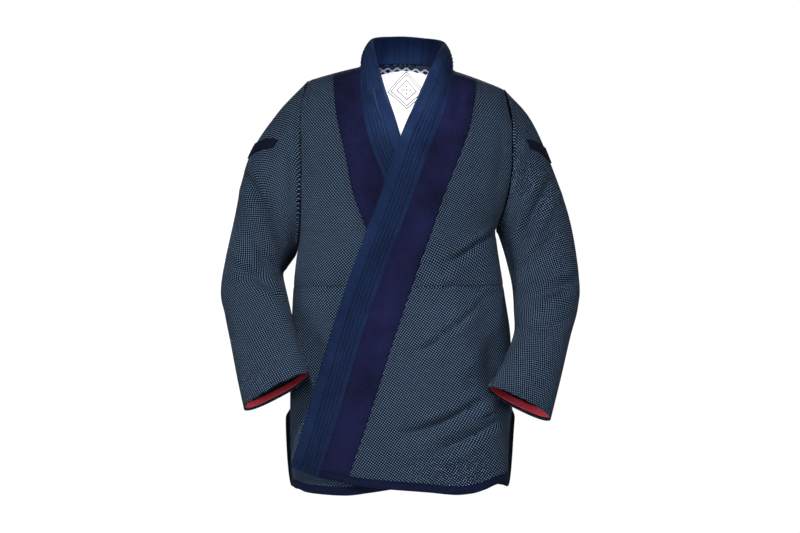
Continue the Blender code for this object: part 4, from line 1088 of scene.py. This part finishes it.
def makeInsideBack():
    x = columnsBy(inside["liningHalf"], 61)
    high = levelOfNeck(x) - inside["liningDrop"]
    h = inside["liningBottom"] + crowdedRows(70)[:, None] * (high[None, :] - inside["liningBottom"])
    inward = cloth["wall"] / 2 + inside["liningGap"] + inside["liningThick"] / 2
    grid, flat = insideSheet(h, x[None, :], inward)
    piece = clothGrid("backLining", grid, flat, inside["liningThick"], materials["lining"], flip=True)
    dress(piece, ["back_lining"], grid)
    inward += inside["liningThick"] / 2 + inside["labelGap"] + inside["labelThick"] / 2
    x = columnsBy(inside["labelHalf"], 51)
    h = np.linspace(inside["labelBottom"], inside["labelTop"], 50)[:, None] + 0 * x[None, :]
    grid, flat = insideSheet(h, x[None, :], inward)
    piece = clothGrid("neckLabel", grid, flat, inside["labelThick"], materials["label"], flip=True)
    dress(piece, ["neck_label"], grid)


for side in ("right", "left"):
    frontUpper(side)
    frontSkirt(side)
    frontBand(side)
print("scene: fronts made")
backPanels()
print("scene: back made")
makeLapel()
print("scene: lapel made")
makeSleeves()
print("scene: sleeves, cuff tapes and patches made")
makeBindings()
makeInsideBack()
print("scene: hem tapes, lining and label made")

for name, width, length, area in declared:
    print("scene: cut", name, width, length, area)


# Stage, lights and camera
studio = {
    "distance": 3.6, "eyeX": -0.007, "eyeZ": -0.340, "pixel": 0.00175, "pixels": 800, "sensor": 36.0,
    "floor": -1.50, "floorSize": 5.0, "backdropSize": 9.0, "air": (0.9, 0.94, 1.0, 1), "airPower": 0.06,
}
lights = (                   # name, place, target, size, power, spread
    ("keyLight", (-0.5, -2.6, 1.6), (0, -0.10, -0.48), 0.35, 3.0, 30),
    ("rightLight", (2.4, -2.2, -0.9), (0, 0, -0.40), 0.7, 36, 180),
    ("leftLight", (-2.4, -2.2, -0.9), (0, 0, -0.40), 0.7, 42, 180),
    ("frontLight", (0.1, -4.0, -0.3), (0, 0, -0.38), 0.8, 14, 180),
    ("neckLight", (0.0, -3.0, -0.10), (0.003, 0.09, -0.035), 0.10, 0.10, 4),
    ("backLight", (0.4, 4.0, 1.2), (0, 0, -0.35), 1.4, 120, 180),
)


def areaLight(name, place, target, size, power, spread):
    data = bpy.data.lights.new(name, "AREA")
    data.shape = "DISK"
    data.size = size
    data.energy = power
    data.spread = math.radians(spread)
    lamp = bpy.data.objects.new(name, data)
    lamp.location = place
    lamp.rotation_euler = (Vector(target) - Vector(place)).to_track_quat("-Z", "Y").to_euler()
    bpy.context.scene.collection.objects.link(lamp)


def makeStage():
    bm = bmesh.new()
    bmesh.ops.create_uvsphere(bm, u_segments=48, v_segments=24, radius=studio["backdropSize"])
    bmesh.ops.reverse_faces(bm, faces=bm.faces)
    pale = bpy.data.materials.new("paleBackdrop")
    pale.use_nodes = True
    shader = pale.node_tree.nodes["Principled BSDF"]
    shader.inputs["Base Color"].default_value = (0, 0, 0, 1)
    shader.inputs["Emission Color"].default_value = (1, 1, 1, 1)
    shader.inputs["Emission Strength"].default_value = 1.0
    backdrop = newPiece("backdrop", bm, pale)
    backdrop.visible_diffuse = False
    backdrop.visible_glossy = False
    backdrop.visible_shadow = False
    bm = bmesh.new()
    bmesh.ops.create_circle(bm, cap_ends=True, segments=64, radius=studio["floorSize"])
    bmesh.ops.translate(bm, verts=bm.verts, vec=(0, 0, studio["floor"]))
    floor = newPiece("floor", bm, pale)
    floor.visible_diffuse = False


makeStage()
world = bpy.data.worlds.new("studioWorld")
bpy.context.scene.world = world
world.use_nodes = True
world.node_tree.nodes["Background"].inputs["Color"].default_value = studio["air"]
world.node_tree.nodes["Background"].inputs["Strength"].default_value = studio["airPower"]
for light in lights:
    areaLight(*light)
bpy.context.scene.view_settings.view_transform = "Standard"

camera = bpy.data.objects.new("camera", bpy.data.cameras.new("camera"))
camera.data.sensor_width = studio["sensor"]
camera.data.sensor_fit = "HORIZONTAL"
camera.data.lens = studio["sensor"] * studio["distance"] / (studio["pixels"] * studio["pixel"])
camera.location = (studio["eyeX"], -studio["distance"], studio["eyeZ"])
camera.rotation_euler = (math.radians(90), 0, 0)
bpy.context.scene.collection.objects.link(camera)
bpy.context.scene.camera = camera
print("scene: stage, lights and camera made")
